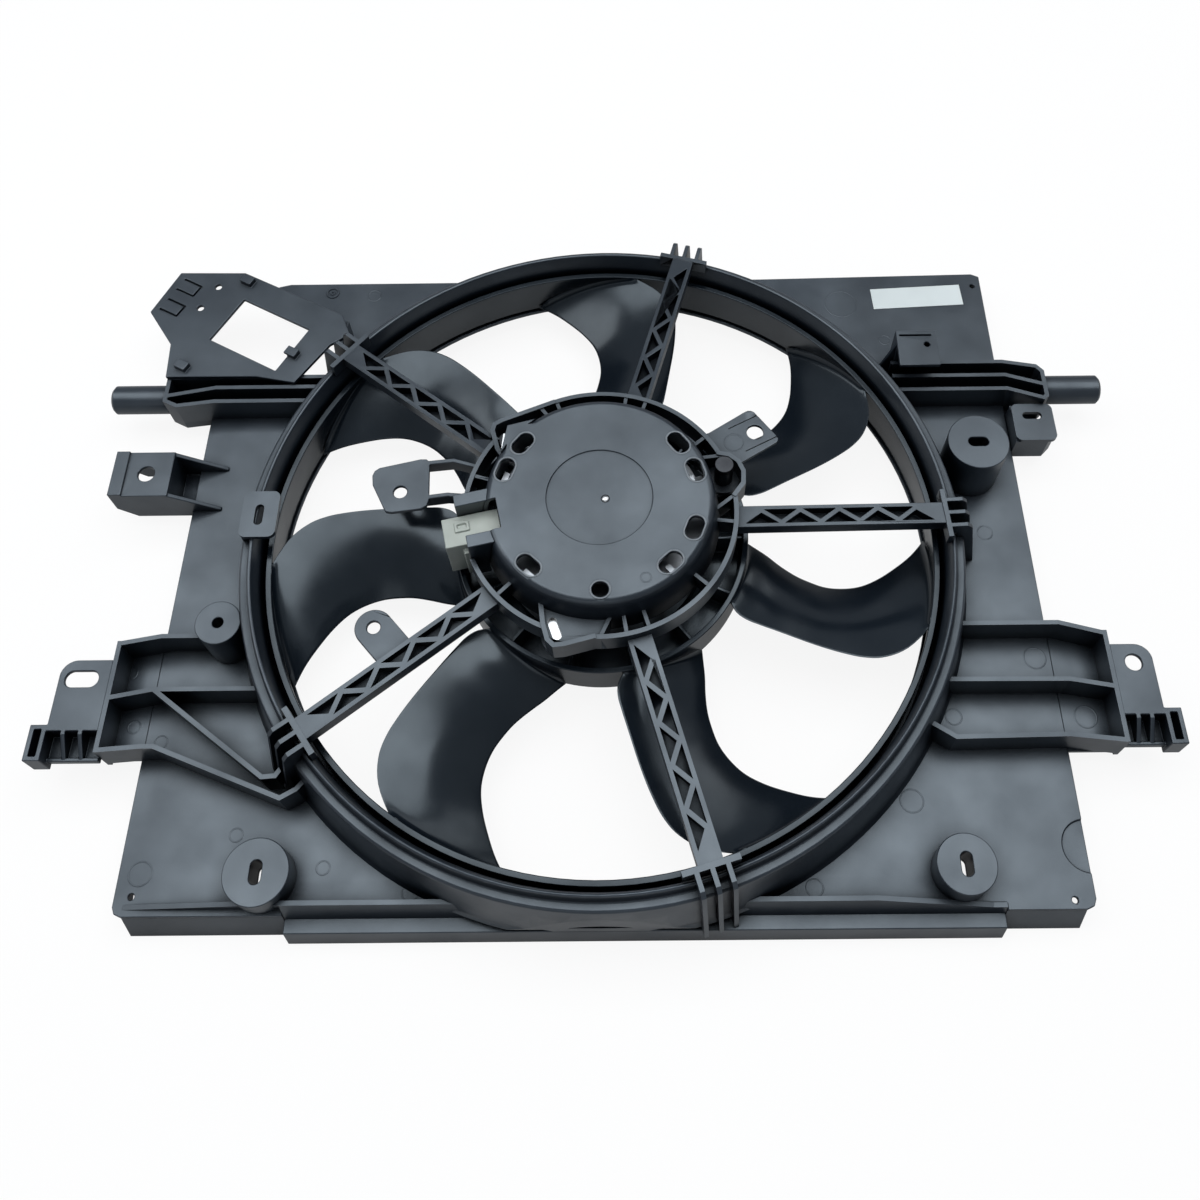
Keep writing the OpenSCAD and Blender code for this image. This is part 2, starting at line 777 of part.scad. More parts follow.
module relay_plate() {
    color(black)
        difference() {
            outward(-1) {
                translate([0, 0, beam_z])
                    linear_extrude(wall_t)
                        polygon([[-281, 200.5], [-238.3, 199.8], [-169.7, 164.3], [-163.4, 149.1],
                            [-175, 141], [-194, 112.4], [-218.7, 117.3], [-275.5, 117.6],
                            [-277.2, 142.9], [-295.2, 168.6]]);
                rib([-171.5, 129], [-167, 160], panel_z, beam_z);
                for (p = [[-235, 192], [-198, 134], [-266, 125]])
                    translate([p.x, p.y, beam_z])
                        rotate([0, 0, -28])
                            translate([-4, -3, 0])
                                cube([8, 6, 6]);
            }
            outward(-1) {
                translate([-221.4, 149.7, beam_z - 1])
                    rotate([0, 0, -28.4])
                        translate([-26, -18, 0])
                            cube([52, 36, 5]);
                for (p = [[-254.3, 188.4], [-263.1, 171.3]])
                    translate([p.x, p.y, beam_z - 1])
                        cylinder(r = 2.2, h = 5, $fn = 32);
                for (p = [[-273.6, 188], [-281.5, 172]])
                    translate([p.x, p.y, beam_z + 0.8])
                        rotate([0, 0, -28]) {
                            translate([6, -5, 0])
                                cube([1.2, 10, 5]);
                            for (y = [-5, 3.8])
                                translate([-7, y, 0])
                                    cube([14, 1.2, 5]);
                        }
            }
            ring_space();
            stay_foot(4);
        }
}

module box_bracket() {
    color(black)
        difference() {
            outward(1) {
                translate([182, 111.5, 51.5])
                    cube([25, 26, wall_t]);
                translate([182, 125.4, panel_z])
                    cube([25, 12.1, 31.5]);
                along_y([[184, panel_z], [172, panel_z], [182, 54], [184, 54]], 127, 129.5);
            }
            outward(1) {
                translate([184.5, 127.9, panel_z - 1])
                    cube([20, 7.1, 32.5]);
                translate([184, 133.5, 50])
                    cube([20, 1, 6]);
                translate([200.5, 127, 50])
                    cylinder(r = 1.8, h = 6, $fn = 32);
            }
            ring_space();
        }
}

module slot_ear() {
    color(black)
        difference() {
            union() {
                translate([panel_right, 69, 31.5])
                    round_plate([25, 26], 4, wall_t);
                ribs([[panel_right + 1.3, 94], [panel_right + 1.3, 70.3],
                    [panel_right + 19, 70.3], [panel_right + 23.7, 75],
                    [panel_right + 23.7, 93]], 14, 31.5);
                translate([panel_right, 0, 14])
                    linear_extrude(wall_t)
                        polygon([[0.5, 92], [20, 92], [20, 95.3], [0.5, 101.8]]);
            }
            translate([panel_right + 12, 86.5, 30])
                slot(12, 5, 6);
        }
}

module side_bracket() {
    color(black)
        difference() {
            outward(-1) {
                translate([-294, 33.5, shelf_z - wall_t])
                    cube([35, 30, wall_t]);
                translate([-294, 33.5, shelf_z])
                    cube([8, 30, 1.5]);
                for (y = [33.5, 61])
                    along_y([[-294, shelf_z - 1], [-259, shelf_z - 1], [-232, 21], [-232, panel_z],
                        [out - panel_left, panel_z], [out - panel_left, 14], [-284, 14], [-294, 24]],
                        y, y + wall_t);
                translate([-261.5, 34, 14])
                    cube([wall_t, 29, 24]);
                translate([-260, 34, 14])
                    cube([260 - panel_left + out, 29, wall_t]);
            }
            translate([-274 - out, 48.5, 30])
                cylinder(r = 5, h = 15);
        }
}

module lower_bracket_right() {
    color(black)
        difference() {
            union() {
                translate([0, 0, sheet_z])
                    linear_extrude(wall_t)
                        polygon([[panel_right, -118], [wall_x, -118], [wall_x, -58.4],
                            [panel_right, -51.9]]);
                outward(1)
                    ribs([at_ring([195, -51.9], 1), [252.6, -51.9], [275.5, -58]], panel_z, shelf_z);
                outward(1)
                    ribs([at_ring([183, -84], 1), [253, -84.5], [276, -88.6]], panel_z, shelf_z);
                outward(1)
                    ribs([at_ring([168, -103], 1), [187.7, -115.7], [247.4, -114.8], [275.5, -118]],
                        panel_z, shelf_z);
                rib([wall_x, -58], [wall_x, -118], sheet_z, shelf_z);
            }
            ring_space();
        }
}

module lower_bracket_left() {
    color(black)
        difference() {
            union() {
                translate([0, 0, sheet_z])
                    linear_extrude(wall_t)
                        polygon([[-panel_left, -118], [-panel_left, -55.8], [10 - wall_x, -58.8],
                            [10 - wall_x, -118]]);
                outward(-1)
                    ribs([at_ring([-222, -54.9], -1), [-244.4, -54.9], [-266, -58.8]], panel_z, shelf_z);
                outward(-1)
                    ribs([[-266, -89.8], [-243, -85.5], at_ring([-180, -85.5], -1)], panel_z, shelf_z);
                outward(-1)
                    ribs([[-243, -85.5], [-177, -133.5], at_ring([-170, -133], -1),
                        at_ring([-163, -122], -1)],
                        panel_z, shelf_z);
                outward(-1)
                    ribs([[-266, -118.5], [-243.9, -116.8], [-237, -116.8], [-166, -144.5],
                        at_ring([-158, -140], -1),
                        at_ring([-150, -130], -1)], panel_z, shelf_z);
                rib([10 - wall_x, -58.8], [10 - wall_x, -118.5], sheet_z, shelf_z);
            }
            ring_space();
            stay_foot(3);
            translate([bosses[1][0].x, bosses[1][0].y, 0])
                cylinder(r = bosses[1][1], h = 80);
        }
}

// A bolting flange of width w with a comb and a catch in front of it. It grows along X from the
// bracket's wall, and its front edge lies on Y = 0.
module side_flange(w) {
    translate([0, 0, shelf_z - wall_t]) {
        cube([w, flange_d - flange_r, wall_t]);
        cube([w - flange_r, flange_d, wall_t]);
        translate([w - flange_r, flange_d - flange_r, 0])
            cylinder(r = flange_r, h = wall_t);
    }
    translate([0, -wall_t, 27])
        cube([w, wall_t, shelf_z - 27]);
    translate([0, -comb_d, 27])
        cube([w, comb_d - wall_t + 0.1, wall_t]);
    translate([0, -comb_d, 29.4])
        cube([w, 2, 2.1]);
    for (i = [1 : 2])
        along_x([[-comb_d + 1, 29.4], [-comb_d + 1, 31.5], [-wall_t - 2, shelf_z],
            [-1, shelf_z], [-1, 29.4]], i * w / 3 - 1.2, i * w / 3 + 1.2);
    difference() {
        translate([w, -comb_d - 2, 24])
            cube([9, comb_d + 3, shelf_z - 24]);
        translate([w + 2.5, -comb_d + 0.5, 30])
            cube([4, comb_d - 2, 15]);
    }
}

module flange_right() {
    color(black)
        difference() {
            translate([flange_x, -102, 0])
                side_flange(21.7);
            translate([flange_x + 11.05, -75.6, 30])
                cylinder(r = 4.6, h = 15);
        }
}

module flange_left() {
    color(black)
        difference() {
            translate([-flange_x + 10, -105.5, 0])
                mirror([1, 0, 0])
                    side_flange(27.7);
            translate([-flange_x - 5.15, -79.3, 30])
                slot(18.4, 9.2, 15);
        }
}

module boss(k) {
    b = bosses[k];
    color(black)
        difference() {
            translate([b[0].x, b[0].y, panel_z])
                cylinder(r = b[1], h = b[2] - panel_z);
            boss_slot(b);
            ring_space();
        }
}

module boss_upper_right() { boss(0); }
module boss_middle_left() { boss(1); }
module boss_lower_right() { boss(2); }
module boss_lower_left() { boss(3); }

module label_plate() {
    color([0.9, 0.9, 0.9])
        translate([panel_right - 73.5, panel_rear - 26.5, panel_z])
            rotate([0, 0, 3])
                cube([60, 16.5, 0.3]);
}

module motor_can() {
    color(steel)
        difference() {
            union() {
                rotate_extrude($fn = 120)
                    polygon([[7, 32], [can_r - 3, 32], [can_r - 0.9, 32.9], [can_r, 35],
                        [can_r, can_z], [can_r - 2.5, can_z], [can_r - 2.5, 34.5], [13.5, 34.5],
                        [13.5, 41], [11, 41], [11, 34.5], [7, 34.5]]);
                lug_place()
                    translate([0, 0, lug_z]) {
                        cylinder(r = 7.5, h = 3);
                        translate([-16, -7.5, 0])
                            cube([16, 15, 3]);
                    }
            }
            lug_place()
                translate([0, 0, lug_z - 1])
                    cylinder(r = screw_r, h = 6);
            translate([0, 0, 34.5])
                difference() {
                    cylinder(r = can_r - 2.5, h = 60);
                    cylinder(r = 14, h = 60);
                }
        }
}

module motor_end_plate() {
    color(steel)
        rotate_extrude($fn = 120)
            polygon([[7, can_z], [can_r, can_z], [can_r, can_z + 2], [13.5, can_z + 2],
                [13.5, can_z + 9], [11, can_z + 9], [11, can_z + 2], [7, can_z + 2]]);
}

module motor_magnets() {
    color([0.25, 0.25, 0.27])
        difference() {
            translate([0, 0, 38])
                cylinder(r = can_r - 2.5, h = 27);
            translate([0, 0, 37])
                cylinder(r = core_r + air_gap, h = 30);
            for (a = [0, 90])
                rotate([0, 0, a])
                    translate([-70, -7, 30])
                        cube([140, 14, 40]);
        }
}

module bearing(z) {
    color(steel)
        translate([0, 0, z])
            difference() {
                cylinder(r = 11, h = 6.5);
                translate([0, 0, -1])
                    cylinder(r = shaft_r + shaft_clear, h = 9);
            }
}

module bearing_front() { bearing(34.5); }
module bearing_rear() { bearing(can_z + 2); }

module brush_holder() {
    color([0.3, 0.2, 0.12])
        difference() {
            union() {
                translate([0, 0, can_z - 2.5])
                    cylinder(r = can_r - 2.6, h = 2.4);
                for (a = [0, 180])
                    rotate([0, 0, a])
                        translate([14, -5.5, can_z - 6.5])
                            cube([16, 11, 4.1]);
            }
            translate([0, 0, can_z - 8])
                cylinder(r = 13.5, h = 12);
            for (a = [0, 180])
                rotate([0, 0, a])
                    translate([8, -3.6, can_z - 8])
                        cube([20, 7.2, 5.5]);
        }
}

module brushes() {
    color([0.2, 0.2, 0.2])
        for (a = [0, 180])
            rotate([0, 0, a])
                difference() {
                    translate([10, -3.5, can_z - 6.2])
                        cube([14, 7, 3.7]);
                    translate([0, 0, 50])
                        cylinder(r = comm_r + 0.2, h = 40);
                }
}

module motor_screws() {
    heads = [carrier_z, lug_z + 6, lug_z + 6];
    color(steel)
        for (i = [0 : 2])
            rotate([0, 0, lug_angles[i]])
                translate([lug_r, 0, 0]) {
                    translate([0, 0, lug_z - 4])
                        cylinder(r = screw_r, h = heads[i] - lug_z + 4.1);
                    translate([0, 0, heads[i]])
                        cylinder(r = 5.2, h = 4);
                }
}

module fan_hub() {
    floor_z = 51 - hub_h;
    color(black)
        union() {
            rotate_extrude($fn = 120)
                polygon([[shaft_r, floor_z - 3], [12, floor_z - 3], [12, floor_z],
                    [hub_r - 4, floor_z], [hub_r - 1, floor_z + 1.2], [hub_r, floor_z + 4],
                    [hub_r, 51], [hub_r - 3, 51], [hub_r - 3, floor_z + 5],
                    [hub_r - 4.5, floor_z + 3], [12, floor_z + 3], [12, 31], [shaft_r, 31]]);
            for (i = [0 : 13])
                rotate([0, 0, i * 360 / 14])
                    translate([can_r + 4, -1, floor_z + 2.9])
                        cube([hub_r - can_r - 6, 2, 17]);
        }
}

module fan_band() {
    top = panel_z - 1.5 + band_h;
    color(black)
        rotate_extrude($fn = 180)
            polygon([[band_r - 1.1, top - band_h], [band_r + 1, top - band_h],
                [band_r - 0.7, top - 3], [band_r, top - 2.5], [band_r, top],
                [band_r - 3.4, top], [band_r - 3.4, top - 2.5]]);
}

// Points of a blade's upper or lower face, from its table of rows
function blade_point(r, j, side) =
    let (t = j / blade_cols)
    let (a = r[1] + (r[2] - r[1]) * t)
    let (bow = sin(180 * t))
    let (z = r[3] + (r[4] - r[3]) * t + 2.2 * bow + side * blade_t * (0.3 + 0.7 * bow) / 2)
    let (x = hub_r + (r[0] - rows_hub) * (band_r - hub_r) / (rows_band - rows_hub))
    [x * cos(a), x * sin(a), z];

module blade() {
    n = len(blade_rows);
    m = blade_cols + 1;
    half = n * m;
    points = [for (side = [1, -1]) for (r = blade_rows) for (j = [0 : blade_cols])
        blade_point(r, j, side)];
    cells = [for (i = [0 : n - 2]) for (j = [0 : m - 2])
        [i * m + j, i * m + m + j, i * m + m + j + 1, i * m + j + 1]];
    low = [for (i = [0 : n - 2]) [i * m + m, i * m]];
    high = [for (i = [0 : n - 2]) [i * m + m - 1, i * m + 2 * m - 1]];
    root = [for (j = [0 : m - 2]) [j, j + 1]];
    tip = [for (j = [0 : m - 2]) [(n - 1) * m + j + 1, (n - 1) * m + j]];
    edge = concat(low, high, root, tip);
    faces = concat([for (c = cells) [c[0], c[1], c[2]]], [for (c = cells) [c[0], c[2], c[3]]],
        [for (c = cells) [c[0] + half, c[2] + half, c[1] + half]],
        [for (c = cells) [c[0] + half, c[3] + half, c[2] + half]],
        [for (e = edge) [e[0], e[1], e[1] + half]],
        [for (e = edge) [e[0], e[1] + half, e[0] + half]]);
    polyhedron(points, faces);
}

module fan_blades() {
    top = panel_z - 1.5 + band_h;
    color(black)
        intersection() {
            union()
                for (a = blade_angles)
                    rotate([0, 0, a])
                        blade();
            rotate_extrude($fn = 180)
                polygon([[hub_r, 15], [band_r - 1.1, 15], [band_r - 1.1, top - band_h],
                    [band_r - 3.4, top - 2.5], [band_r - 3.4, 55], [hub_r, 55]]);
        }
}

module fan_nut() {
    color(steel)
        translate([0, 0, 51 - hub_h - 8])
            difference() {
                cylinder(r = 8.5, h = 5, $fn = 6);
                translate([0, 0, -1])
                    cylinder(r = shaft_r, h = 7);
            }
}

module motor_shaft() {
    color(steel)
        translate([0, 0, 15])
            cylinder(r = shaft_r, h = can_z - 15 + 12);
}

module armature_core() {
    color(steel)
        difference() {
            translate([0, 0, core_z])
                cylinder(r = core_r, h = core_h);
            translate([0, 0, core_z - 1])
                cylinder(r = shaft_r, h = core_h + 2);
            for (i = [0 : 11])
                rotate([0, 0, i * 30])
                    translate([18, -2, core_z - 1])
                        cube([25, 4, core_h + 2]);
        }
}

module armature_winding() {
    color([0.7, 0.4, 0.2])
        for (z = [core_z - 3.5, core_z + core_h])
            translate([0, 0, z])
                difference() {
                    cylinder(r = 35, h = 3.5);
                    translate([0, 0, -1])
                        cylinder(r = 16, h = 6);
                }
}

module commutator() {
    color([0.72, 0.45, 0.25])
        difference() {
            translate([0, 0, core_z + core_h])
                cylinder(r = comm_r, h = 8.5);
            translate([0, 0, core_z])
                cylinder(r = shaft_r, h = 60);
        }
}

panel_left_half();
panel_right_half();
skirt_left();
skirt_right();
skirt_rear();
front_wall();
front_lip();
fan_ring();
ring_ear();
stay_top();
stay_right();
stay_bottom();
stay_lower_left();
stay_upper_left();
motor_carrier();
motor_cover();
connector_hood();
tab_left();
tab_right();
tab_lower();
beam_left();
beam_right();
relay_plate();
box_bracket();
slot_ear();
side_bracket();
lower_bracket_left();
lower_bracket_right();
flange_left();
flange_right();
boss_upper_right();
boss_middle_left();
boss_lower_right();
boss_lower_left();
label_plate();
motor_can();
motor_end_plate();
motor_magnets();
bearing_front();
bearing_rear();
brush_holder();
brushes();
motor_screws();
connector_housing();
connector_pins();
fan_hub();
fan_blades();
fan_band();
fan_nut();
motor_shaft();
armature_core();
armature_winding();
commutator();
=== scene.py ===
"""Looks of a car's radiator fan: finishes, rounded edges, blades, marks and a plain studio."""

import json
import logging
import math
from dataclasses import dataclass
from enum import Enum
from typing import Sequence

import bmesh
import bpy
from mathutils import Matrix, Vector
from mathutils.bvhtree import BVHTree


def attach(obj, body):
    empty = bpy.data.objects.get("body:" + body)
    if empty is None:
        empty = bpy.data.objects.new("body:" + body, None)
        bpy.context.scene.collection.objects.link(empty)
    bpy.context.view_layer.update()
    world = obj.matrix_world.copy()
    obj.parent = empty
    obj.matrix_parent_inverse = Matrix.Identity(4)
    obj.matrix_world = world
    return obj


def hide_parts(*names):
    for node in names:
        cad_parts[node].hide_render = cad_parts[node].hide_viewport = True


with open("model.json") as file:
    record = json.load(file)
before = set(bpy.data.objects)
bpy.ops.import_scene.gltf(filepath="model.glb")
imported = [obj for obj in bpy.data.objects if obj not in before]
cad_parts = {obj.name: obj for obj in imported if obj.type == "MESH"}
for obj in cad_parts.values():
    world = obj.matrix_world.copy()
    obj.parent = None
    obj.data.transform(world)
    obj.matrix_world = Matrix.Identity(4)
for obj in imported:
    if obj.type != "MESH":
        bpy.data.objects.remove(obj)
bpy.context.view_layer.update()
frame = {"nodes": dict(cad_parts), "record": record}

LOG = logging.getLogger("radiator_fan")
MM = 0.001
FRAME_PX = 1200
# Corners nearer than this are one corner, in a CAD node and in a piece made here
CAD_MERGE_MM = 0.005
MERGE_MM = 0.001
# Faces that turn less are one flat face, and edges that turn more are rounded
FLAT_DEG = 0.6
EDGE_DEG = 35.0


class Body(Enum):
    """The rigid bodies that pieces ride on."""

    SHROUD = "shroud"
    ROTOR = "fan_rotor"


def linear(colour: str) -> tuple[float, float, float, float]:
    """Turn an sRGB hex colour into linear light.

    Args:
        colour: Six hex digits after a hash sign.

    Returns:
        Red, green and blue, each from 0 to 1, and full opacity.
    """
    parts = [int(colour[i : i + 2], 16) / 255 for i in (1, 3, 5)]
    lit = [c / 12.92 if c <= 0.04045 else ((c + 0.055) / 1.055) ** 2.4 for c in parts]
    return (lit[0], lit[1], lit[2], 1.0)


def add_node(tree: bpy.types.NodeTree, kind: str, sockets: dict, **settings) -> bpy.types.Node:
    """Add a node with its settings, and set or link its inputs.

    Args:
        tree: Node tree that gets the node.
        kind: Node type.
        sockets: Input name or number to a value or to another node's output.
        **settings: Properties of the node.

    Returns:
        The new node.
    """
    node = tree.nodes.new(kind)
    for key, value in settings.items():
        setattr(node, key, value)
    for key, value in sockets.items():
        if isinstance(value, bpy.types.NodeSocket):
            tree.links.new(value, node.inputs[key])
        else:
            node.inputs[key].default_value = value
    return node


def new_material(name: str) -> tuple[bpy.types.Material, bpy.types.NodeTree]:
    """Make an empty node material.

    Args:
        name: The material's name.

    Returns:
        The material and its node tree.
    """
    material = bpy.data.materials.new(name)
    material.use_nodes = True
    material.node_tree.nodes.clear()
    return material, material.node_tree


def noise(tree: bpy.types.NodeTree, size_mm: float, detail: float = 2.0,
          stretch: Sequence[float] = (1, 1, 1)) -> bpy.types.NodeSocket:
    """Noise on object coordinates whose lumps have a real size.

    Args:
        tree: Node tree that gets the nodes.
        size_mm: Size of a lump in millimetres.
        detail: Octaves of finer noise.
        stretch: How much finer the lumps are along X, Y and Z.

    Returns:
        The noise's value, about 0.5 on average.
    """
    coords = add_node(tree, "ShaderNodeTexCoord", {})
    mapping = add_node(tree, "ShaderNodeMapping", {"Vector": coords.outputs["Object"],
                                                   "Scale": tuple(stretch)})
    texture = add_node(tree, "ShaderNodeTexNoise", {"Vector": mapping.outputs["Vector"],
                                                    "Scale": 1 / (size_mm * MM),
                                                    "Detail": detail})
    return texture.outputs["Fac"]


def span(tree: bpy.types.NodeTree, value: bpy.types.NodeSocket, low: float, high: float,
         from_low: float = 0.3, from_high: float = 0.7) -> bpy.types.NodeSocket:
    """Map a noise value onto a range of numbers.

    Args:
        tree: Node tree that gets the node.
        value: The value to map.
        low: Result at from_low.
        high: Result at from_high.
        from_low: Lower end of the value's range.
        from_high: Upper end of the value's range.

    Returns:
        The mapped value.
    """
    node = add_node(tree, "ShaderNodeMapRange", {"Value": value, "From Min": from_low,
                                                 "From Max": from_high, "To Min": low,
                                                 "To Max": high})
    return node.outputs["Result"]


@dataclass(frozen=True)
class MouldedPlastic:
    """An injection-moulded plastic: a spark-eroded grain, cloudy flow, handling dust and, where a
    shade colour is given, painted shade in its pockets.
    """

    name: str
    colour: str
    pale: str
    roughness: float
    grain_mm: float
    grain_depth: float
    flow_mm: float = 46.0
    specular: float = 0.5
    tint: str = "#ffffff"
    pocket_shade: str = ""
    dust_mm: float = 28.0
    wiped_mm: float = 35.0
    pocket_mm: float = 13.0
    bump_mm: float = 0.2
    ior: float = 1.49

    def material(self) -> bpy.types.Material:
        """Build the material."""
        material, tree = new_material(self.name)
        # Flow lines drift the colour by a few per cent over the span of a hand.
        flow = span(tree, noise(tree, self.flow_mm, 3), 0, 1)
        # Handling leaves dull patches the size of a thumb.
        dust = span(tree, noise(tree, self.dust_mm, 5), 0, 1, 0.42, 0.7)
        colour = add_node(tree, "ShaderNodeMix", {0: flow, 6: linear(self.colour),
                                                  7: linear(self.pale)}, data_type="RGBA")
        gloss = span(tree, dust, self.roughness - 0.03, self.roughness + 0.07, 0, 1)
        shade, shine = colour.outputs[2], self.specular
        if self.pocket_shade:
            # Painted shade: ambient occlusion darkens the colour towards a near-black shade colour
            # in pockets between ribs and near walls.
            open_air = add_node(tree, "ShaderNodeAmbientOcclusion",
                                {"Distance": self.pocket_mm * MM}, samples=5)
            unshaded = span(tree, open_air.outputs["AO"], 0, 1, 0.4, 0.92)
            mixed = add_node(tree, "ShaderNodeMix", {0: unshaded, 6: linear(self.pocket_shade),
                                                     7: colour.outputs[2]}, data_type="RGBA")
            shade = mixed.outputs[2]
            # Wiped areas shine a little more and dusty ones a little less.
            wiped = span(tree, noise(tree, self.wiped_mm, 5), 0.78 * self.specular,
                         1.15 * self.specular)
            # Painted shade on the sheen: the specular level also drops in those pockets.
            lit = span(tree, unshaded, 0.2, 1, 0, 1)
            shine = add_node(tree, "ShaderNodeMath", {0: wiped, 1: lit},
                             operation="MULTIPLY").outputs[0]
        # The mould's grain, drawn a little coarser than its real 0.3 mm so that it shows.
        grain = add_node(tree, "ShaderNodeBump", {"Height": noise(tree, self.grain_mm, 2),
                                                  "Strength": self.grain_depth,
                                                  "Distance": self.bump_mm * MM})
        shader = add_node(tree, "ShaderNodeBsdfPrincipled", {
            "Base Color": shade, "Roughness": gloss, "IOR": self.ior,
            "Specular IOR Level": shine, "Specular Tint": linear(self.tint),
            "Normal": grain.outputs["Normal"]})
        add_node(tree, "ShaderNodeOutputMaterial", {"Surface": shader.outputs["BSDF"]})
        return material


@dataclass(frozen=True)
class PlatedSteel:
    """Pressed or turned metal with fine tool lines and a plated skin."""

    name: str
    colour: str
    dull: str
    roughness: float
    line_mm: float
    patch_mm: float = 9.0
    bump_mm: float = 0.1

    def material(self) -> bpy.types.Material:
        """Build the material."""
        material, tree = new_material(self.name)
        # Plating and handling leave slightly duller patches.
        patch = span(tree, noise(tree, self.patch_mm, 3), 0, 1)
        colour = add_node(tree, "ShaderNodeMix", {0: patch, 6: linear(self.colour),
                                                  7: linear(self.dull)}, data_type="RGBA")
        # Tool lines run round the axis, so they are much finer along Z.
        lines = noise(tree, self.line_mm, 2, (1, 1, 12))
        gloss = span(tree, lines, self.roughness - 0.06, self.roughness + 0.08)
        bump = add_node(tree, "ShaderNodeBump", {"Height": lines, "Strength": 0.12,
                                                 "Distance": self.bump_mm * MM})
        shader = add_node(tree, "ShaderNodeBsdfPrincipled", {
            "Base Color": colour.outputs[2], "Roughness": gloss, "Metallic": 1.0,
            "Normal": bump.outputs["Normal"]})
        add_node(tree, "ShaderNodeOutputMaterial", {"Surface": shader.outputs["BSDF"]})
        return material


class Finish(Enum):
    """Every finish on the object, under the name of its material slot."""

    # Glass-filled polypropylene: satin, dark blue-grey black, with a near-black painted shade in its
    # pockets
    BLACK_MOULDING = ("black_moulding", MouldedPlastic(
        "glass_filled_polypropylene", "#161b22", "#20262e", 0.34, 0.9, 0.1, 70,
        specular=0.95, tint="#e2eff9", pocket_shade="#04060a"))
    # The same plastic, paler: a painted highlight on the raised rims round the cover's slots and
    # hole, where their edges catch light
    HIGHLIGHT_MOULDING = ("black_moulding", MouldedPlastic(
        "painted_highlight_polypropylene", "#4c545b", "#5d656c", 0.45, 0.9, 0.1, 12, specular=0.8))
    # Unfilled polyamide from a polished mould: smoother and deeper black, with a near-black painted
    # shade in its pockets
    FAN_MOULDING = ("fan_moulding", MouldedPlastic(
        "polished_black_polyamide", "#0d1319", "#12181f", 0.2, 1.4, 0.04, 90,
        specular=0.6, tint="#e2f0fa", pocket_shade="#030507"))
    # Zinc-coated deep-drawn steel: light grey with a soft sheen
    MOTOR_STEEL = ("motor_steel", PlatedSteel("zinc_coated_steel", "#a9adb2", "#8c9095", 0.38, 0.8))
    # Bright zinc plating on nut, shaft, bearings and strips: clear silver highlights
    FASTENER_STEEL = ("fastener_steel", PlatedSteel(
        "bright_zinc_steel", "#c6c8ca", "#a7a9ab", 0.26, 0.5))
    # Black zinc plating on the motor's screws: dark grey with a metal glint
    BLACK_FASTENER = ("black_fastener", PlatedSteel(
        "black_zinc_steel", "#3a3c3f", "#2c2d30", 0.36, 0.5))
    # Stacked laminations: mid grey, with the sheets' edges as fine lines
    CORE_STEEL = ("core_steel", PlatedSteel("lamination_steel", "#7d8084", "#66696d", 0.45, 0.5))
    # Sintered ferrite, dull and grey
    FERRITE = ("ferrite", MouldedPlastic("sintered_ferrite", "#3c3d40", "#4a4b4e", 0.7, 0.8, 0.3))
    # Enamelled winding wire: shiny copper brown
    COPPER_WIRE = ("copper_wire", PlatedSteel("enamelled_copper", "#b0663a", "#8f4d29", 0.3, 0.8))
    # Turned copper segments: bright copper with tool lines
    COPPER_BARS = ("copper_bars", PlatedSteel("turned_copper", "#c07a52", "#a5623d", 0.28, 0.4))
    # Pressed carbon: matt and nearly black
    CARBON = ("carbon", MouldedPlastic("pressed_carbon", "#1e1e1f", "#2a2a2b", 0.6, 0.6, 0.25))
    # Brown phenolic card: matt brown
    BROWN_MOULDING = ("brown_moulding", MouldedPlastic(
        "brown_phenolic", "#4b3222", "#573b29", 0.55, 0.8, 0.25))
    # Natural polyamide, light warm grey with a green cast
    CONNECTOR_MOULDING = ("connector_moulding", MouldedPlastic(
        "natural_grey_polyamide", "#a2a8a1", "#959b94", 0.42, 0.9, 0.14, 18))
    # Tin plating on brass blades: pale silver with a warm cast
    TINNED_BRASS = ("tinned_brass", PlatedSteel("tinned_brass", "#c9c4ae", "#b3ad94", 0.3, 0.4))
    # White polyester film: flat, with a slight gloss
    LABEL_FILM = ("label_film", MouldedPlastic("white_polyester_film", "#ced5d5", "#c6cdcd",
                                               0.32, 1.5, 0.05, 30))

    def __init__(self, slot: str, recipe: MouldedPlastic | PlatedSteel) -> None:
        """Keep the slot's name and the recipe of its material."""
        self.slot = slot
        self.recipe = recipe

    def get(self) -> bpy.types.Material:
        """The material, made once."""
        found = bpy.data.materials.get(self.recipe.name)
        return found or self.recipe.material()


def publish(piece: bpy.types.Object, finish: Finish, body: Body, *nodes: str) -> bpy.types.Object:
    """Give a finished piece its material and body, and hide the CAD nodes that it stands for.

    Args:
        piece: The finished piece.
        finish: Its finish.
        body: The body that it rides on.
        *nodes: CAD nodes that it replaces.

    Returns:
        The piece.
    """
    piece.data.materials.clear()
    piece.data.materials.append(finish.get())
    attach(piece, body.value)
    if nodes:
        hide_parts(*nodes)
    LOG.info("%s: %d faces", piece.name, len(piece.data.polygons))
    return piece


def object_of(name: str, bm: bmesh.types.BMesh) -> bpy.types.Object:
    """Turn a bmesh into an object at the origin and free the bmesh."""
    mesh = bpy.data.meshes.new(name)
    bm.to_mesh(mesh)
    bm.free()
    piece = bpy.data.objects.new(name, mesh)
    bpy.context.scene.collection.objects.link(piece)
    return piece


def baked(piece: bpy.types.Object) -> bpy.types.Object:
    """Replace a piece's mesh by its evaluated one and drop its modifiers."""
    depsgraph = bpy.context.evaluated_depsgraph_get()
    mesh = bpy.data.meshes.new_from_object(piece.evaluated_get(depsgraph))
    piece.modifiers.clear()
    piece.data = mesh
    return piece


def smooth(mesh: bpy.types.Mesh, angle: float = 32.0) -> None:
    """Shade a mesh smooth and keep edges over an angle in degrees sharp."""
    mesh.polygons.foreach_set("use_smooth", [True] * len(mesh.polygons))
    mesh.set_sharp_from_angle(angle=math.radians(angle))


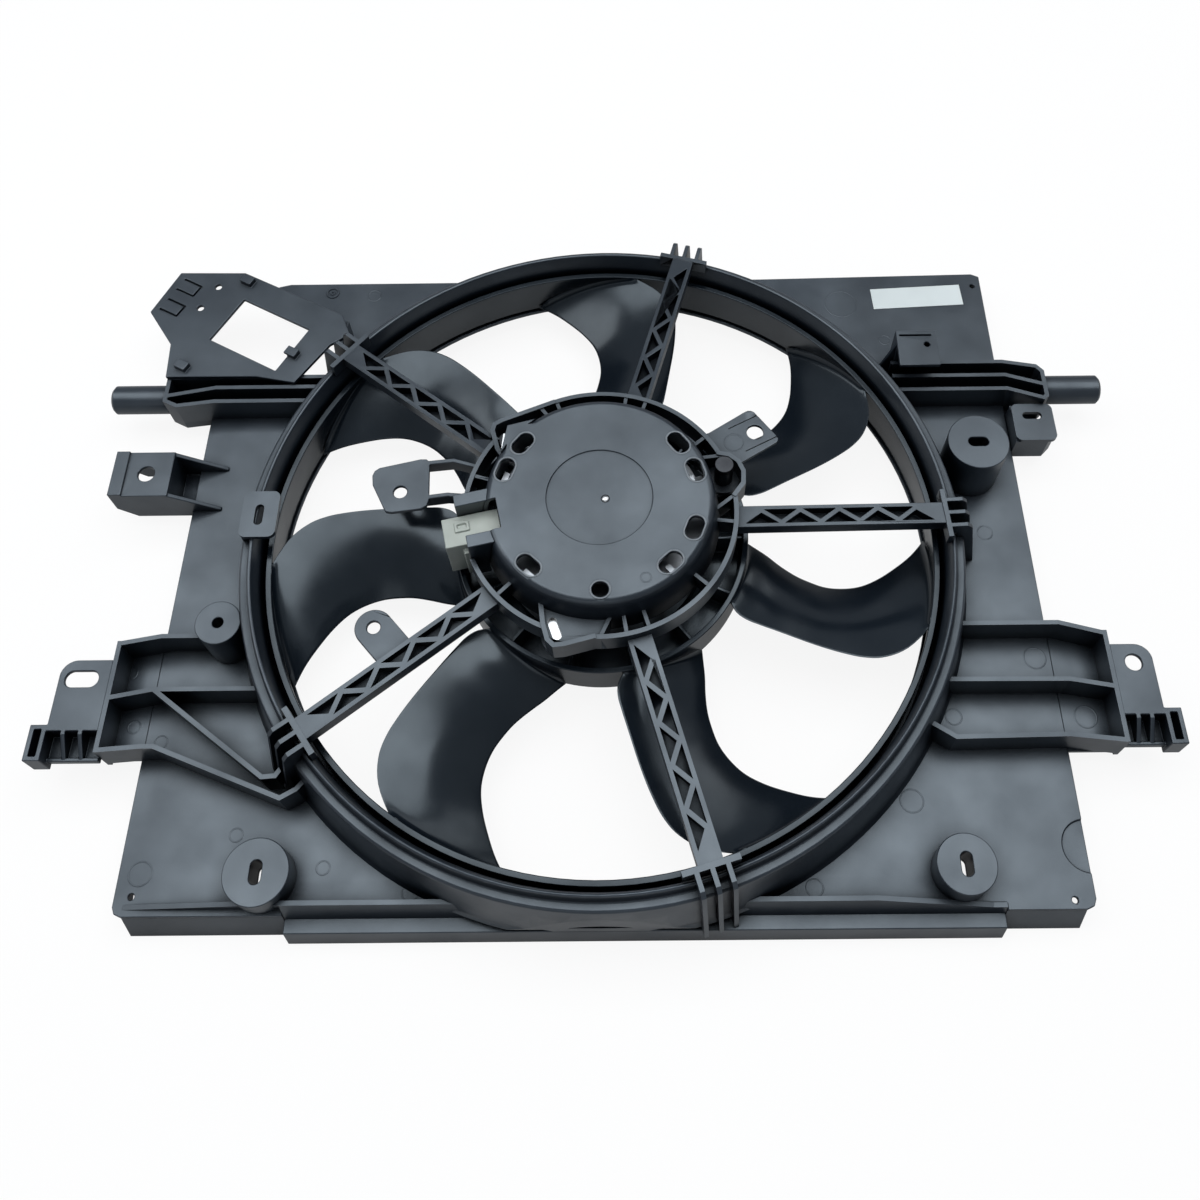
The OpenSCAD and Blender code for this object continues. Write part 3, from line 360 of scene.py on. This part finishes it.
def source_of(node: str) -> bmesh.types.BMesh:
    """Copy a CAD node's mesh, merged and with its flat faces joined."""
    bm = bmesh.new()
    bm.from_mesh(frame["nodes"][node].data)
    bmesh.ops.remove_doubles(bm, verts=bm.verts, dist=CAD_MERGE_MM * MM)
    bmesh.ops.dissolve_limit(bm, angle_limit=math.radians(FLAT_DEG), verts=bm.verts,
                             edges=bm.edges)
    return bm


def strays(piece: bpy.types.Object, surface: BVHTree, area: float, width_mm: float) -> bool:
    """Whether a rounded piece has left the surface that it was made from.

    Args:
        piece: The rounded piece.
        surface: The surface before rounding.
        area: Its area.
        width_mm: Width of the rounding.

    Returns:
        True when a corner lies too far off, or the faces have folded over each other.
    """
    furthest, growth = 0.75 * width_mm * MM, 1.02
    if any(surface.find_nearest(vertex.co)[3] > furthest for vertex in piece.data.vertices):
        return True
    return sum(face.area for face in piece.data.polygons) > growth * area


def rounded(node: str, width_mm: float, cutter: bmesh.types.BMesh | None = None) -> bpy.types.Object:
    """Copy a CAD node, round its edges and cut marks into it.

    Args:
        node: The CAD node's name.
        width_mm: Width of the rounding.
        cutter: What is cut out of the rounded piece, if anything; it is freed.

    Returns:
        The new piece, at the origin.
    """
    bm = source_of(node)
    surface, area = BVHTree.FromBMesh(bm), sum(face.calc_area() for face in bm.faces)
    piece = object_of(f"{node}_moulded", bm)
    sharp = piece.data.copy()
    # Where the full rounding folds, a narrower one is tried, and then one that edges limit.
    narrower = 0.6 * width_mm
    for width, clamp in ((width_mm, False), (narrower, False), (width_mm, True)):
        piece.data = sharp.copy()
        smooth(piece.data)
        bevel = piece.modifiers.new("rounding", "BEVEL")
        bevel.width = width * MM
        bevel.segments = 2
        bevel.limit_method = "ANGLE"
        bevel.angle_limit = math.radians(EDGE_DEG)
        bevel.use_clamp_overlap = clamp
        bevel.miter_outer = "MITER_ARC"
        baked(piece)
        if not strays(piece, surface, area, width):
            break
        LOG.info("%s: rounding of %.2f mm folds", node, width)
    if cutter:
        tool = object_of(f"{node}_cutter", cutter)
        cut = piece.modifiers.new("marks", "BOOLEAN")
        cut.operation = "DIFFERENCE"
        cut.solver = "EXACT"
        cut.object = tool
        baked(piece)
        bpy.data.objects.remove(tool)
        smooth(piece.data)
    normals = piece.modifiers.new("normals", "WEIGHTED_NORMAL")
    normals.keep_sharp = True
    return baked(piece)


def blend_rows(rows: Sequence[Sequence[float]], place: float) -> list[float]:
    """Read a table between its rows with a smooth curve through them.

    Args:
        rows: Rows whose first number rises.
        place: The first number of the wanted row.

    Returns:
        The whole row at that place.
    """
    last = len(rows) - 1
    k = next((i for i in range(last) if rows[i + 1][0] >= place), last - 1)
    before, low, high, after = (rows[max(0, min(last, k + step))] for step in (-1, 0, 1, 2))
    t = (place - low[0]) / (high[0] - low[0])
    result = [place]
    for column in range(1, len(low)):
        gap = high[0] - low[0]
        rise = (high[column] - before[column]) / (high[0] - before[0]) * gap
        fall = (after[column] - low[column]) / (after[0] - low[0]) * gap
        result.append((2 * t**3 - 3 * t**2 + 1) * low[column] + (t**3 - 2 * t**2 + t) * rise
                      + (3 * t**2 - 2 * t**3) * high[column] + (t**3 - t**2) * fall)
    return result


def loft(sections: Sequence[Sequence[Sequence[float]]], closed: bool = True) -> bmesh.types.BMesh:
    """Skin a row of closed sections, all with the same number of points.

    Args:
        sections: Sections of points in millimetres.
        closed: Whether the two ends get a cap.

    Returns:
        The skin, with its normals outward.
    """
    bm = bmesh.new()
    rings = [[bm.verts.new(Vector(point) * MM) for point in section] for section in sections]
    count = len(rings[0])
    for low, high in zip(rings, rings[1:]):
        for i in range(count):
            j = (i + 1) % count
            bm.faces.new((low[i], low[j], high[j], high[i]))
    if closed:
        bm.faces.new(rings[0][::-1])
        bm.faces.new(rings[-1])
    bmesh.ops.recalc_face_normals(bm, faces=bm.faces)
    return bm


def repeat_group() -> bpy.types.NodeTree:
    """Geometry nodes that set a piece on every mark, turned by the mark's own turn."""
    found = bpy.data.node_groups.get("repeat_on_marks")
    if found:
        return found
    tree = bpy.data.node_groups.new("repeat_on_marks", "GeometryNodeTree")
    face = tree.interface
    face.new_socket("Marks", in_out="INPUT", socket_type="NodeSocketGeometry")
    face.new_socket("Piece", in_out="INPUT", socket_type="NodeSocketObject")
    face.new_socket("Finish", in_out="INPUT", socket_type="NodeSocketMaterial")
    face.new_socket("Pieces", in_out="OUTPUT", socket_type="NodeSocketGeometry")
    given = tree.nodes.new("NodeGroupInput")
    source = add_node(tree, "GeometryNodeObjectInfo", {"Object": given.outputs["Piece"]})
    turn = add_node(tree, "GeometryNodeInputNamedAttribute", {"Name": "turn"}, data_type="FLOAT")
    spin = add_node(tree, "ShaderNodeCombineXYZ", {"Z": turn.outputs[0]})
    placed = add_node(tree, "GeometryNodeInstanceOnPoints", {
        "Points": given.outputs["Marks"], "Instance": source.outputs["Geometry"],
        "Rotation": spin.outputs[0]})
    real = add_node(tree, "GeometryNodeRealizeInstances", {0: placed.outputs["Instances"]})
    dressed = add_node(tree, "GeometryNodeSetMaterial", {
        "Geometry": real.outputs[0], "Material": given.outputs["Finish"]})
    add_node(tree, "NodeGroupOutput", {0: dressed.outputs[0]})
    return tree


def repeated(name: str, piece: bmesh.types.BMesh, marks: Sequence[Sequence[float]],
             finish: Finish) -> bpy.types.Object:
    """Set copies of a small piece on marks.

    Args:
        name: Name of the new object.
        piece: The small piece about the origin; it is freed.
        marks: X, Y, Z in millimetres and a turn about Z in degrees for each copy.
        finish: Finish of the copies.

    Returns:
        One object that holds every copy.
    """
    single = object_of(f"{name}_single", piece)
    smooth(single.data)
    mesh = bpy.data.meshes.new(name)
    mesh.from_pydata([[c * MM for c in mark[:3]] for mark in marks], [], [])
    turn = mesh.attributes.new("turn", "FLOAT", "POINT")
    turn.data.foreach_set("value", [math.radians(mark[3]) for mark in marks])
    result = bpy.data.objects.new(name, mesh)
    bpy.context.scene.collection.objects.link(result)
    group = repeat_group()
    modifier = result.modifiers.new("repeat", "NODES")
    modifier.node_group = group
    values = {"Piece": single, "Finish": finish.get()}
    for item in group.interface.items_tree:
        if item.name in values and item.in_out == "INPUT":
            modifier[item.identifier] = values[item.name]
    baked(result)
    bpy.data.objects.remove(single)
    return result


@dataclass
class FanBlades:
    """Seven swept blades with round edges and fillets at hub and band."""

    # Radius; start and end angle; start and end height, in mm and degrees
    rows: Sequence[Sequence[float]] = (
        (81, 14, -20, 29, 48), (88, 10.5, -23, 28.5, 48.5), (95, 7.6, -23.6, 27.5, 49),
        (103, 4.4, -22.9, 26, 49), (112, 1.9, -22, 25, 49), (121, 0.6, -21.2, 24, 48.5),
        (130, 0, -20.5, 23, 48), (140, 0.4, -19.7, 22.5, 47.5), (150, 1.6, -18.8, 22, 47),
        (160, 3.8, -17.7, 21.5, 46.5), (170, 6.5, -15.9, 21, 46), (180, 9.3, -12.6, 20.5, 45.5),
        (188, 12, -8, 20.3, 45), (192, 13.5, -5, 20.3, 45))
    turns: Sequence[float] = (39.3, 91.4, 145.4, 192.2, 243.1, 299, 350.2)
    thickness: float = 2.6
    bow: float = 2.2
    hub_r: float = 83.0
    band_r: float = 187.9
    fillet: float = 3.0
    # Shares of the blade's width that its round edges take, and of its thickness at them
    edge_share: float = 0.012
    edge_thickness: float = 0.3
    # How far its ends run into hub and band, and the steps of radius along each fillet
    into_hub: float = 1.2
    into_band: float = 1.0
    fillet_steps: Sequence[float] = (0.0, 0.4, 1.0, 1.8)
    columns: int = 30
    spans: int = 44

    def spread(self, radius: float) -> float:
        """Extra half thickness of the fillets at a radius."""
        extra = 0.0
        for gap in (radius - self.hub_r, self.band_r - radius):
            near = self.fillet - min(max(gap, 0.0), self.fillet)
            extra = max(extra, self.fillet - math.sqrt(self.fillet**2 - near**2))
        return extra

    def section(self, radius: float) -> list[tuple[float, float, float]]:
        """Closed section of the blade at a radius."""
        _, start, end, low, high = blend_rows(self.rows, radius)
        upper, lower = [], []
        for i in range(self.columns + 1):
            t = (1 - math.cos(math.pi * i / self.columns)) / 2
            bow = math.sin(math.pi * t)
            near_edge = min(1.0, min(t, 1 - t) / self.edge_share)
            round_off = math.sqrt(max(0.0, 1 - (1 - near_edge) ** 2))
            fullness = self.edge_thickness + (1 - self.edge_thickness) * bow
            half = self.thickness * fullness / 2 * round_off
            half += self.spread(radius) * min(1.0, 4 * bow)
            angle = math.radians(start + (end - start) * t)
            z = low + (high - low) * t + self.bow * bow
            x, y = radius * math.cos(angle), radius * math.sin(angle)
            upper.append((x, y, z + half))
            lower.append((x, y, z - half))
        return upper + lower[-2:0:-1]

    def build(self) -> None:
        """Loft one blade and set it seven times round the hub."""
        radii = [self.hub_r - self.into_hub]
        radii += [self.hub_r + step for step in self.fillet_steps]
        first, last = self.hub_r + self.fillet, self.band_r - self.fillet
        radii += [first + (last - first) * i / self.spans for i in range(self.spans + 1)]
        radii += [self.band_r - step for step in reversed(self.fillet_steps)]
        radii.append(self.band_r + self.into_band)
        blade = loft([self.section(radius) for radius in radii])
        blades = repeated("fan_blades_smooth", blade, [(0, 0, 0, turn) for turn in self.turns],
                          Finish.FAN_MOULDING)
        publish(blades, Finish.FAN_MOULDING, Body.ROTOR, "fan_blades")


def stadium(length: float, width: float, z: float, grow: float,
            steps: int = 14) -> list[tuple[float, float, float]]:
    """Outline of a slot about the origin, or of a circle where length equals width.

    Args:
        length: Its whole length along X.
        width: Its width.
        z: Height of the outline.
        grow: How far the outline lies outside that slot.
        steps: Faces of each rounded end.

    Returns:
        The outline's points.
    """
    points = []
    for side in (1, -1):
        for i in range(steps + 1):
            angle = math.pi * (i / steps - 0.5) + (0 if side > 0 else math.pi)
            radius = width / 2 + grow
            points.append((side * (length - width) / 2 + radius * math.cos(angle),
                           radius * math.sin(angle), z))
    return points


def bar(start: Sequence[float], end: Sequence[float], width: float, low: float,
        high: float) -> bmesh.types.BMesh:
    """A straight bar between two points in plan.

    Args:
        start: X and Y of one end.
        end: X and Y of the other end.
        width: Its width.
        low: Height of its underside.
        high: Height of its top.

    Returns:
        The bar.
    """
    along = Vector(end) - Vector(start)
    side = Vector((-along.y, along.x)).normalized() * width / 2
    corners = [Vector(start) - side, Vector(end) - side, Vector(end) + side, Vector(start) + side]
    return loft([[(c.x, c.y, z) for c in corners] for z in (low, high)])


def joined(parts: Sequence[bmesh.types.BMesh]) -> bmesh.types.BMesh:
    """Put several bmeshes into the first one and free the others."""
    first = parts[0]
    for part in parts[1:]:
        spare = bpy.data.meshes.new("spare")
        part.to_mesh(spare)
        part.free()
        first.from_mesh(spare)
        bpy.data.meshes.remove(spare)
    return first


@dataclass
class Rims:
    """Low rims round slots and ejector marks, one size to a piece."""

    name: str
    length: float
    width: float
    marks: Sequence[Sequence[float]]
    rise: float = 0.15
    half: float = 0.35
    finish: Finish = Finish.BLACK_MOULDING
    sunk: float = 0.4

    def build(self) -> None:
        """Loft one rim and set it on every mark."""
        profile = ((-self.half, -self.sunk), (-self.half, self.rise / 2),
                   (-self.half / 2, self.rise), (self.half / 2, self.rise),
                   (self.half, self.rise / 2), (self.half, -self.sunk),
                   (-self.half, -self.sunk))
        rim = loft([stadium(self.length, self.width, z, grow) for grow, z in profile], False)
        bmesh.ops.remove_doubles(rim, verts=rim.verts, dist=MERGE_MM * MM)
        bmesh.ops.recalc_face_normals(rim, faces=rim.faces)
        piece = repeated(self.name, rim, self.marks, self.finish)
        publish(piece, self.finish, Body.SHROUD)


def surface_marks() -> list[Rims]:
    """Every rim on the shroud: round the cover's slots, and where ejector pins pushed."""
    cover_z, slot_r, sheet_z, tab_z = 96.0, 54.5, 20.0, 75.0
    slots = [(slot_r * math.cos(math.radians(a)), slot_r * math.sin(math.radians(a)), cover_z,
              a + 90) for a in (141.8, 161.6, 37.4, 16.8, -20.8, -46.3, -132.4)]
    large = ((163.9, -143.7), (242.4, -65.2), (264.3, -99.2), (-238.1, -177.4))
    middle = ((109.1, -187.1), (192.3, -98.5), (-97.7, -187.4), (226.4, 13.4), (-156.3, 195.7))
    small = ((-191.6, -158.2), (-143.8, -175.2), (-265.4, -68.8), (-257.3, -99.9),
             (-240.8, -108.4), (182.4, 154.6))
    on_sheet = [[(x, y, sheet_z, 0) for x, y in spots] for spots in (large, middle, small)]
    highlighted, rise, half = Finish.HIGHLIGHT_MOULDING, 0.3, 0.5
    # Length, width and places of each kind; a rise and a half width where they aren't the usual
    return [
        # The rims round the cover's slots and hole take the paler finish, a painted highlight on
        # their edges.
        Rims("cover_slot_rims", 15.4, 10.0, slots, rise, half, highlighted),
        Rims("cover_hole_rim", 10.4, 10.0, [(1, -slot_r, cover_z, 0)], rise, half, highlighted),
        Rims("cover_ejector_mark", 5.5, 5.5, [(24.7, -48.1, cover_z, 0)]),
        Rims("ejector_marks_large", 12.2, 12.2, on_sheet[0]),
        Rims("ejector_marks_middle", 8.8, 8.8, on_sheet[1]),
        Rims("ejector_marks_small", 7.0, 7.0, on_sheet[2]),
        Rims("tab_ejector_mark", 11.0, 11.0, [(75.8, 45.0, tab_z, 0)]),
        Rims("gate_disc", 21.0, 21.0, [(156.4, 184.2, sheet_z, 0)]),
        Rims("locating_pin_rim", 7.6, 7.6, [(-184.6, 198.1, sheet_z, 0)], 0.6, 0.6),
        Rims("locating_pin", 2.6, 2.6, [(-184.6, 198.1, sheet_z, 0)], 0.5, 0.5),
    ]


@dataclass
class RightTab:
    """The right cable tab with two grooves along its edges."""

    grooves: Sequence[Sequence[Sequence[float]]] = (
        ((72.9, 54.2), (92.0, 64.3)), ((82.1, 39.2), (100.9, 49.1)))
    groove_w: float = 0.6
    groove_floor: float = 74.2
    above_top: float = 76.0
    rounding_mm: float = 0.45

    def build(self) -> None:
        """Round the tab and cut its grooves."""
        cutter = joined([bar(start, end, self.groove_w, self.groove_floor, self.above_top)
                         for start, end in self.grooves])
        publish(rounded("tab_right", self.rounding_mm, cutter), Finish.BLACK_MOULDING,
                Body.SHROUD, "tab_right")


@dataclass
class BrightBits:
    """Bright metal that shows through gaps: the motor's lugs and tabs, and a pin in the cover."""

    pad_strip: Sequence[Sequence[float]] = ((-25.6, -62.6), (-20.9, -75.6))
    corner_strip: Sequence[Sequence[float]] = ((-53.9, 47.2), (-54.6, 37.7))
    under_slots: Sequence[Sequence[Sequence[float]]] = (
        ((-40.0, -38.5), (-34.5, -43.5)), ((36.0, -36.5), (40.0, -41.0)),
        ((-53.5, 15.5), (-51.5, 21.0)), ((51.0, 13.0), (50.0, 18.0)))
    # Widths and heights of the strips: under the pad, in the corner and under the slots
    pad_bar: Sequence[float] = (4.6, 75.6, 77.2)
    corner_bar: Sequence[float] = (3.0, 82.5, 84.0)
    slot_bar: Sequence[float] = (3.2, 84.0, 85.5)
    pin_r: float = 2.1
    pin_place: Sequence[float] = (3.2, -1.2, 0.0)
    # Inset and height of each ring of the pin's dome
    dome: Sequence[Sequence[float]] = (
        (0.0, 90.0), (0.0, 95.2), (-0.3, 95.6), (-0.9, 95.9), (-1.6, 96.0))

    def build(self) -> None:
        """Build the strips, the tabs and the domed pin."""
        strips = object_of("lug_strips", joined([
            bar(*self.pad_strip, *self.pad_bar), bar(*self.corner_strip, *self.corner_bar)]))
        publish(strips, Finish.FASTENER_STEEL, Body.SHROUD)
        tabs = object_of("can_tabs", joined([
            bar(start, end, *self.slot_bar) for start, end in self.under_slots]))
        publish(tabs, Finish.MOTOR_STEEL, Body.SHROUD)
        pin = loft([stadium(2 * self.pin_r, 2 * self.pin_r, z, grow) for grow, z in self.dome])
        bmesh.ops.remove_doubles(pin, verts=pin.verts, dist=MERGE_MM * MM)
        bmesh.ops.translate(pin, verts=pin.verts, vec=Vector(self.pin_place) * MM)
        piece = object_of("cover_pin", pin)
        smooth(piece.data, 50)
        publish(piece, Finish.FASTENER_STEEL, Body.SHROUD)


@dataclass
class RoundedNodes:
    """CAD nodes that keep their form and get rounded edges."""

    body: Body
    finish: Finish
    nodes: Sequence[str]
    width_mm: float = 0.45

    def build(self) -> None:
        """Copy, round and dress each node."""
        for node in self.nodes:
            publish(rounded(node, self.width_mm), self.finish, self.body, node)


@dataclass
class BareNodes:
    """CAD nodes that stay as they are, under a finish."""

    finish: Finish
    nodes: Sequence[str]

    def build(self) -> None:
        """Give each node its finish."""
        for node in self.nodes:
            shown = frame["nodes"][node]
            shown.data.materials.clear()
            shown.data.materials.append(self.finish.get())
            LOG.info("%s: finish only", node)


def seen_directly(tree: bpy.types.NodeTree) -> bpy.types.NodeSocket:
    """1 for rays from the camera, less for mirrored and transmitted ones, else 0.

    Args:
        tree: Node tree that gets the nodes.

    Returns:
        The share.
    """
    path = add_node(tree, "ShaderNodeLightPath", {})
    mirrored = add_node(tree, "ShaderNodeMath", {0: path.outputs["Is Glossy Ray"],
                                                 1: path.outputs["Is Transmission Ray"]},
                        operation="MAXIMUM")
    # A room is darker than its white table, so mirrored rays see a part of the white.
    mirrored_share = 0.25
    part = add_node(tree, "ShaderNodeMath", {0: mirrored.outputs[0], 1: mirrored_share},
                    operation="MULTIPLY")
    seen = add_node(tree, "ShaderNodeMath", {0: path.outputs["Is Camera Ray"],
                                             1: part.outputs[0]}, operation="MAXIMUM")
    return seen.outputs[0]


@dataclass
class Studio:
    """A pale floor, soft lamps and the camera."""

    focal_px: float = 1259.279
    centre_px: tuple[float, float] = (638.0, 410.0)
    tilt: tuple[float, float, float] = (-0.562, -0.006, 0.011)
    offset_mm: tuple[float, float, float] = (-20.0, -86.9, -743.298)
    base_mm: float = 20.0
    floor_m: float = 6.0

    def camera(self) -> None:
        """Set up the camera at the viewing angle."""
        turn_x, turn_y, turn_z = self.tilt
        turn = (Matrix.Rotation(turn_z, 3, "Z") @ Matrix.Rotation(turn_y, 3, "Y")
                @ Matrix.Rotation(turn_x, 3, "X"))
        place = -(turn.transposed() @ Vector(self.offset_mm)) + Vector((0, 0, self.base_mm))
        data = bpy.data.cameras.new("camera")
        data.lens = self.focal_px / FRAME_PX * data.sensor_width
        data.shift_x = 0.5 - self.centre_px[0] / FRAME_PX
        data.shift_y = self.centre_px[1] / FRAME_PX - 0.5
        data.clip_start = 0.05
        camera = bpy.data.objects.new("camera", data)
        camera.matrix_world = Matrix.Translation(place * MM) @ turn.transposed().to_4x4()
        bpy.context.scene.collection.objects.link(camera)
        bpy.context.scene.camera = camera

    def floor(self) -> None:
        """Lay a white floor that keeps a soft shadow."""
        bm = bmesh.new()
        bmesh.ops.create_grid(bm, x_segments=1, y_segments=1, size=self.floor_m)
        plane = object_of("floor", bm)
        material, tree = new_material("white_floor")
        share = add_node(tree, "ShaderNodeMath", {0: seen_directly(tree), 1: 0.9},
                         operation="MULTIPLY")
        # Dark flats stand round the table, so bounced light meets a greyer one than the camera.
        path = add_node(tree, "ShaderNodeLightPath", {})
        colour = add_node(tree, "ShaderNodeMix", {0: path.outputs["Is Camera Ray"],
                                                  6: linear("#a2a2a2"), 7: linear("#f2f2f2")},
                          data_type="RGBA")
        matt = add_node(tree, "ShaderNodeBsdfDiffuse", {"Color": colour.outputs[2]})
        white = add_node(tree, "ShaderNodeEmission", {"Color": (1, 1, 1, 1), "Strength": 1.0})
        mixed = add_node(tree, "ShaderNodeMixShader", {0: share.outputs[0],
                                                       1: matt.outputs[0],
                                                       2: white.outputs[0]})
        add_node(tree, "ShaderNodeOutputMaterial", {"Surface": mixed.outputs[0]})
        plane.data.materials.append(material)

    def lamp(self, name: str, place: Sequence[float], size: Sequence[float], power: float,
             colour: str = "#ffffff") -> None:
        """Hang a soft lamp that looks at the fan's hub.

        Args:
            name: The lamp's name.
            place: Where it hangs, in metres.
            size: Width and height of its face, in metres.
            power: Watts.
            colour: Its colour.
        """
        data = bpy.data.lights.new(name, "AREA")
        data.shape = "RECTANGLE"
        data.size, data.size_y = size
        data.energy = power
        data.color = linear(colour)[:3]
        lamp = bpy.data.objects.new(name, data)
        lamp.location = place
        lamp.rotation_mode = "QUATERNION"
        lamp.rotation_quaternion = (-Vector(place)).to_track_quat("-Z", "Y")
        bpy.context.scene.collection.objects.link(lamp)

    def world(self) -> None:
        """White to the camera, a dim blue-grey to everything else."""
        world = bpy.data.worlds.new("studio")
        world.use_nodes = True
        tree = world.node_tree
        tree.nodes.clear()
        dim = add_node(tree, "ShaderNodeBackground", {"Color": linear("#bfd3e8"),
                                                      "Strength": 0.15})
        white = add_node(tree, "ShaderNodeBackground", {"Color": (1, 1, 1, 1), "Strength": 1.0})
        mixed = add_node(tree, "ShaderNodeMixShader", {0: seen_directly(tree),
                                                       1: dim.outputs[0], 2: white.outputs[0]})
        add_node(tree, "ShaderNodeOutputWorld", {"Surface": mixed.outputs[0]})
        bpy.context.scene.world = world

    def build(self) -> None:
        """Set up everything round the object."""
        self.camera()
        self.floor()
        self.world()
        self.lamp("overhead", (0.0, 0.3, 1.75), (2.3, 1.5), 38, "#fafdff")
        self.lamp("left", (-1.7, 0.3, 1.3), (1.0, 1.0), 8)
        self.lamp("rear_right", (1.5, 1.3, 1.1), (1.2, 1.2), 5)
        self.lamp("front_fill", (-0.3, -2.0, 1.0), (1.4, 1.0), 3)
        settings = bpy.context.scene.view_settings
        settings.view_transform = "Standard"


def main() -> None:
    """Build every sub-assembly in order."""
    logging.basicConfig(level=logging.INFO, format="%(name)s %(message)s")
    Studio().build()
    black = [item["node"] for item in frame["record"]["subparts"]
             if item["material_slot"] == Finish.BLACK_MOULDING.slot
             and item["node"] != "tab_right"]
    RoundedNodes(Body.SHROUD, Finish.BLACK_MOULDING, black).build()
    RoundedNodes(Body.ROTOR, Finish.FAN_MOULDING, ["fan_hub", "fan_band"]).build()
    FanBlades().build()
    RightTab().build()
    for rims in surface_marks():
        rims.build()
    BrightBits().build()
    BareNodes(Finish.MOTOR_STEEL, ["motor_can", "motor_end_plate"]).build()
    BareNodes(Finish.FASTENER_STEEL, ["fan_nut", "motor_shaft", "bearing_front",
                                      "bearing_rear"]).build()
    RoundedNodes(Body.SHROUD, Finish.BLACK_FASTENER, ["motor_screws"], 0.3).build()
    BareNodes(Finish.CORE_STEEL, ["armature_core"]).build()
    BareNodes(Finish.FERRITE, ["motor_magnets"]).build()
    BareNodes(Finish.COPPER_WIRE, ["armature_winding"]).build()
    BareNodes(Finish.COPPER_BARS, ["commutator"]).build()
    BareNodes(Finish.CARBON, ["brushes"]).build()
    BareNodes(Finish.BROWN_MOULDING, ["brush_holder"]).build()
    RoundedNodes(Body.SHROUD, Finish.CONNECTOR_MOULDING, ["connector_housing"]).build()
    BareNodes(Finish.TINNED_BRASS, ["connector_pins"]).build()
    BareNodes(Finish.LABEL_FILM, ["label_plate"]).build()


if __name__ == "__main__":
    main()
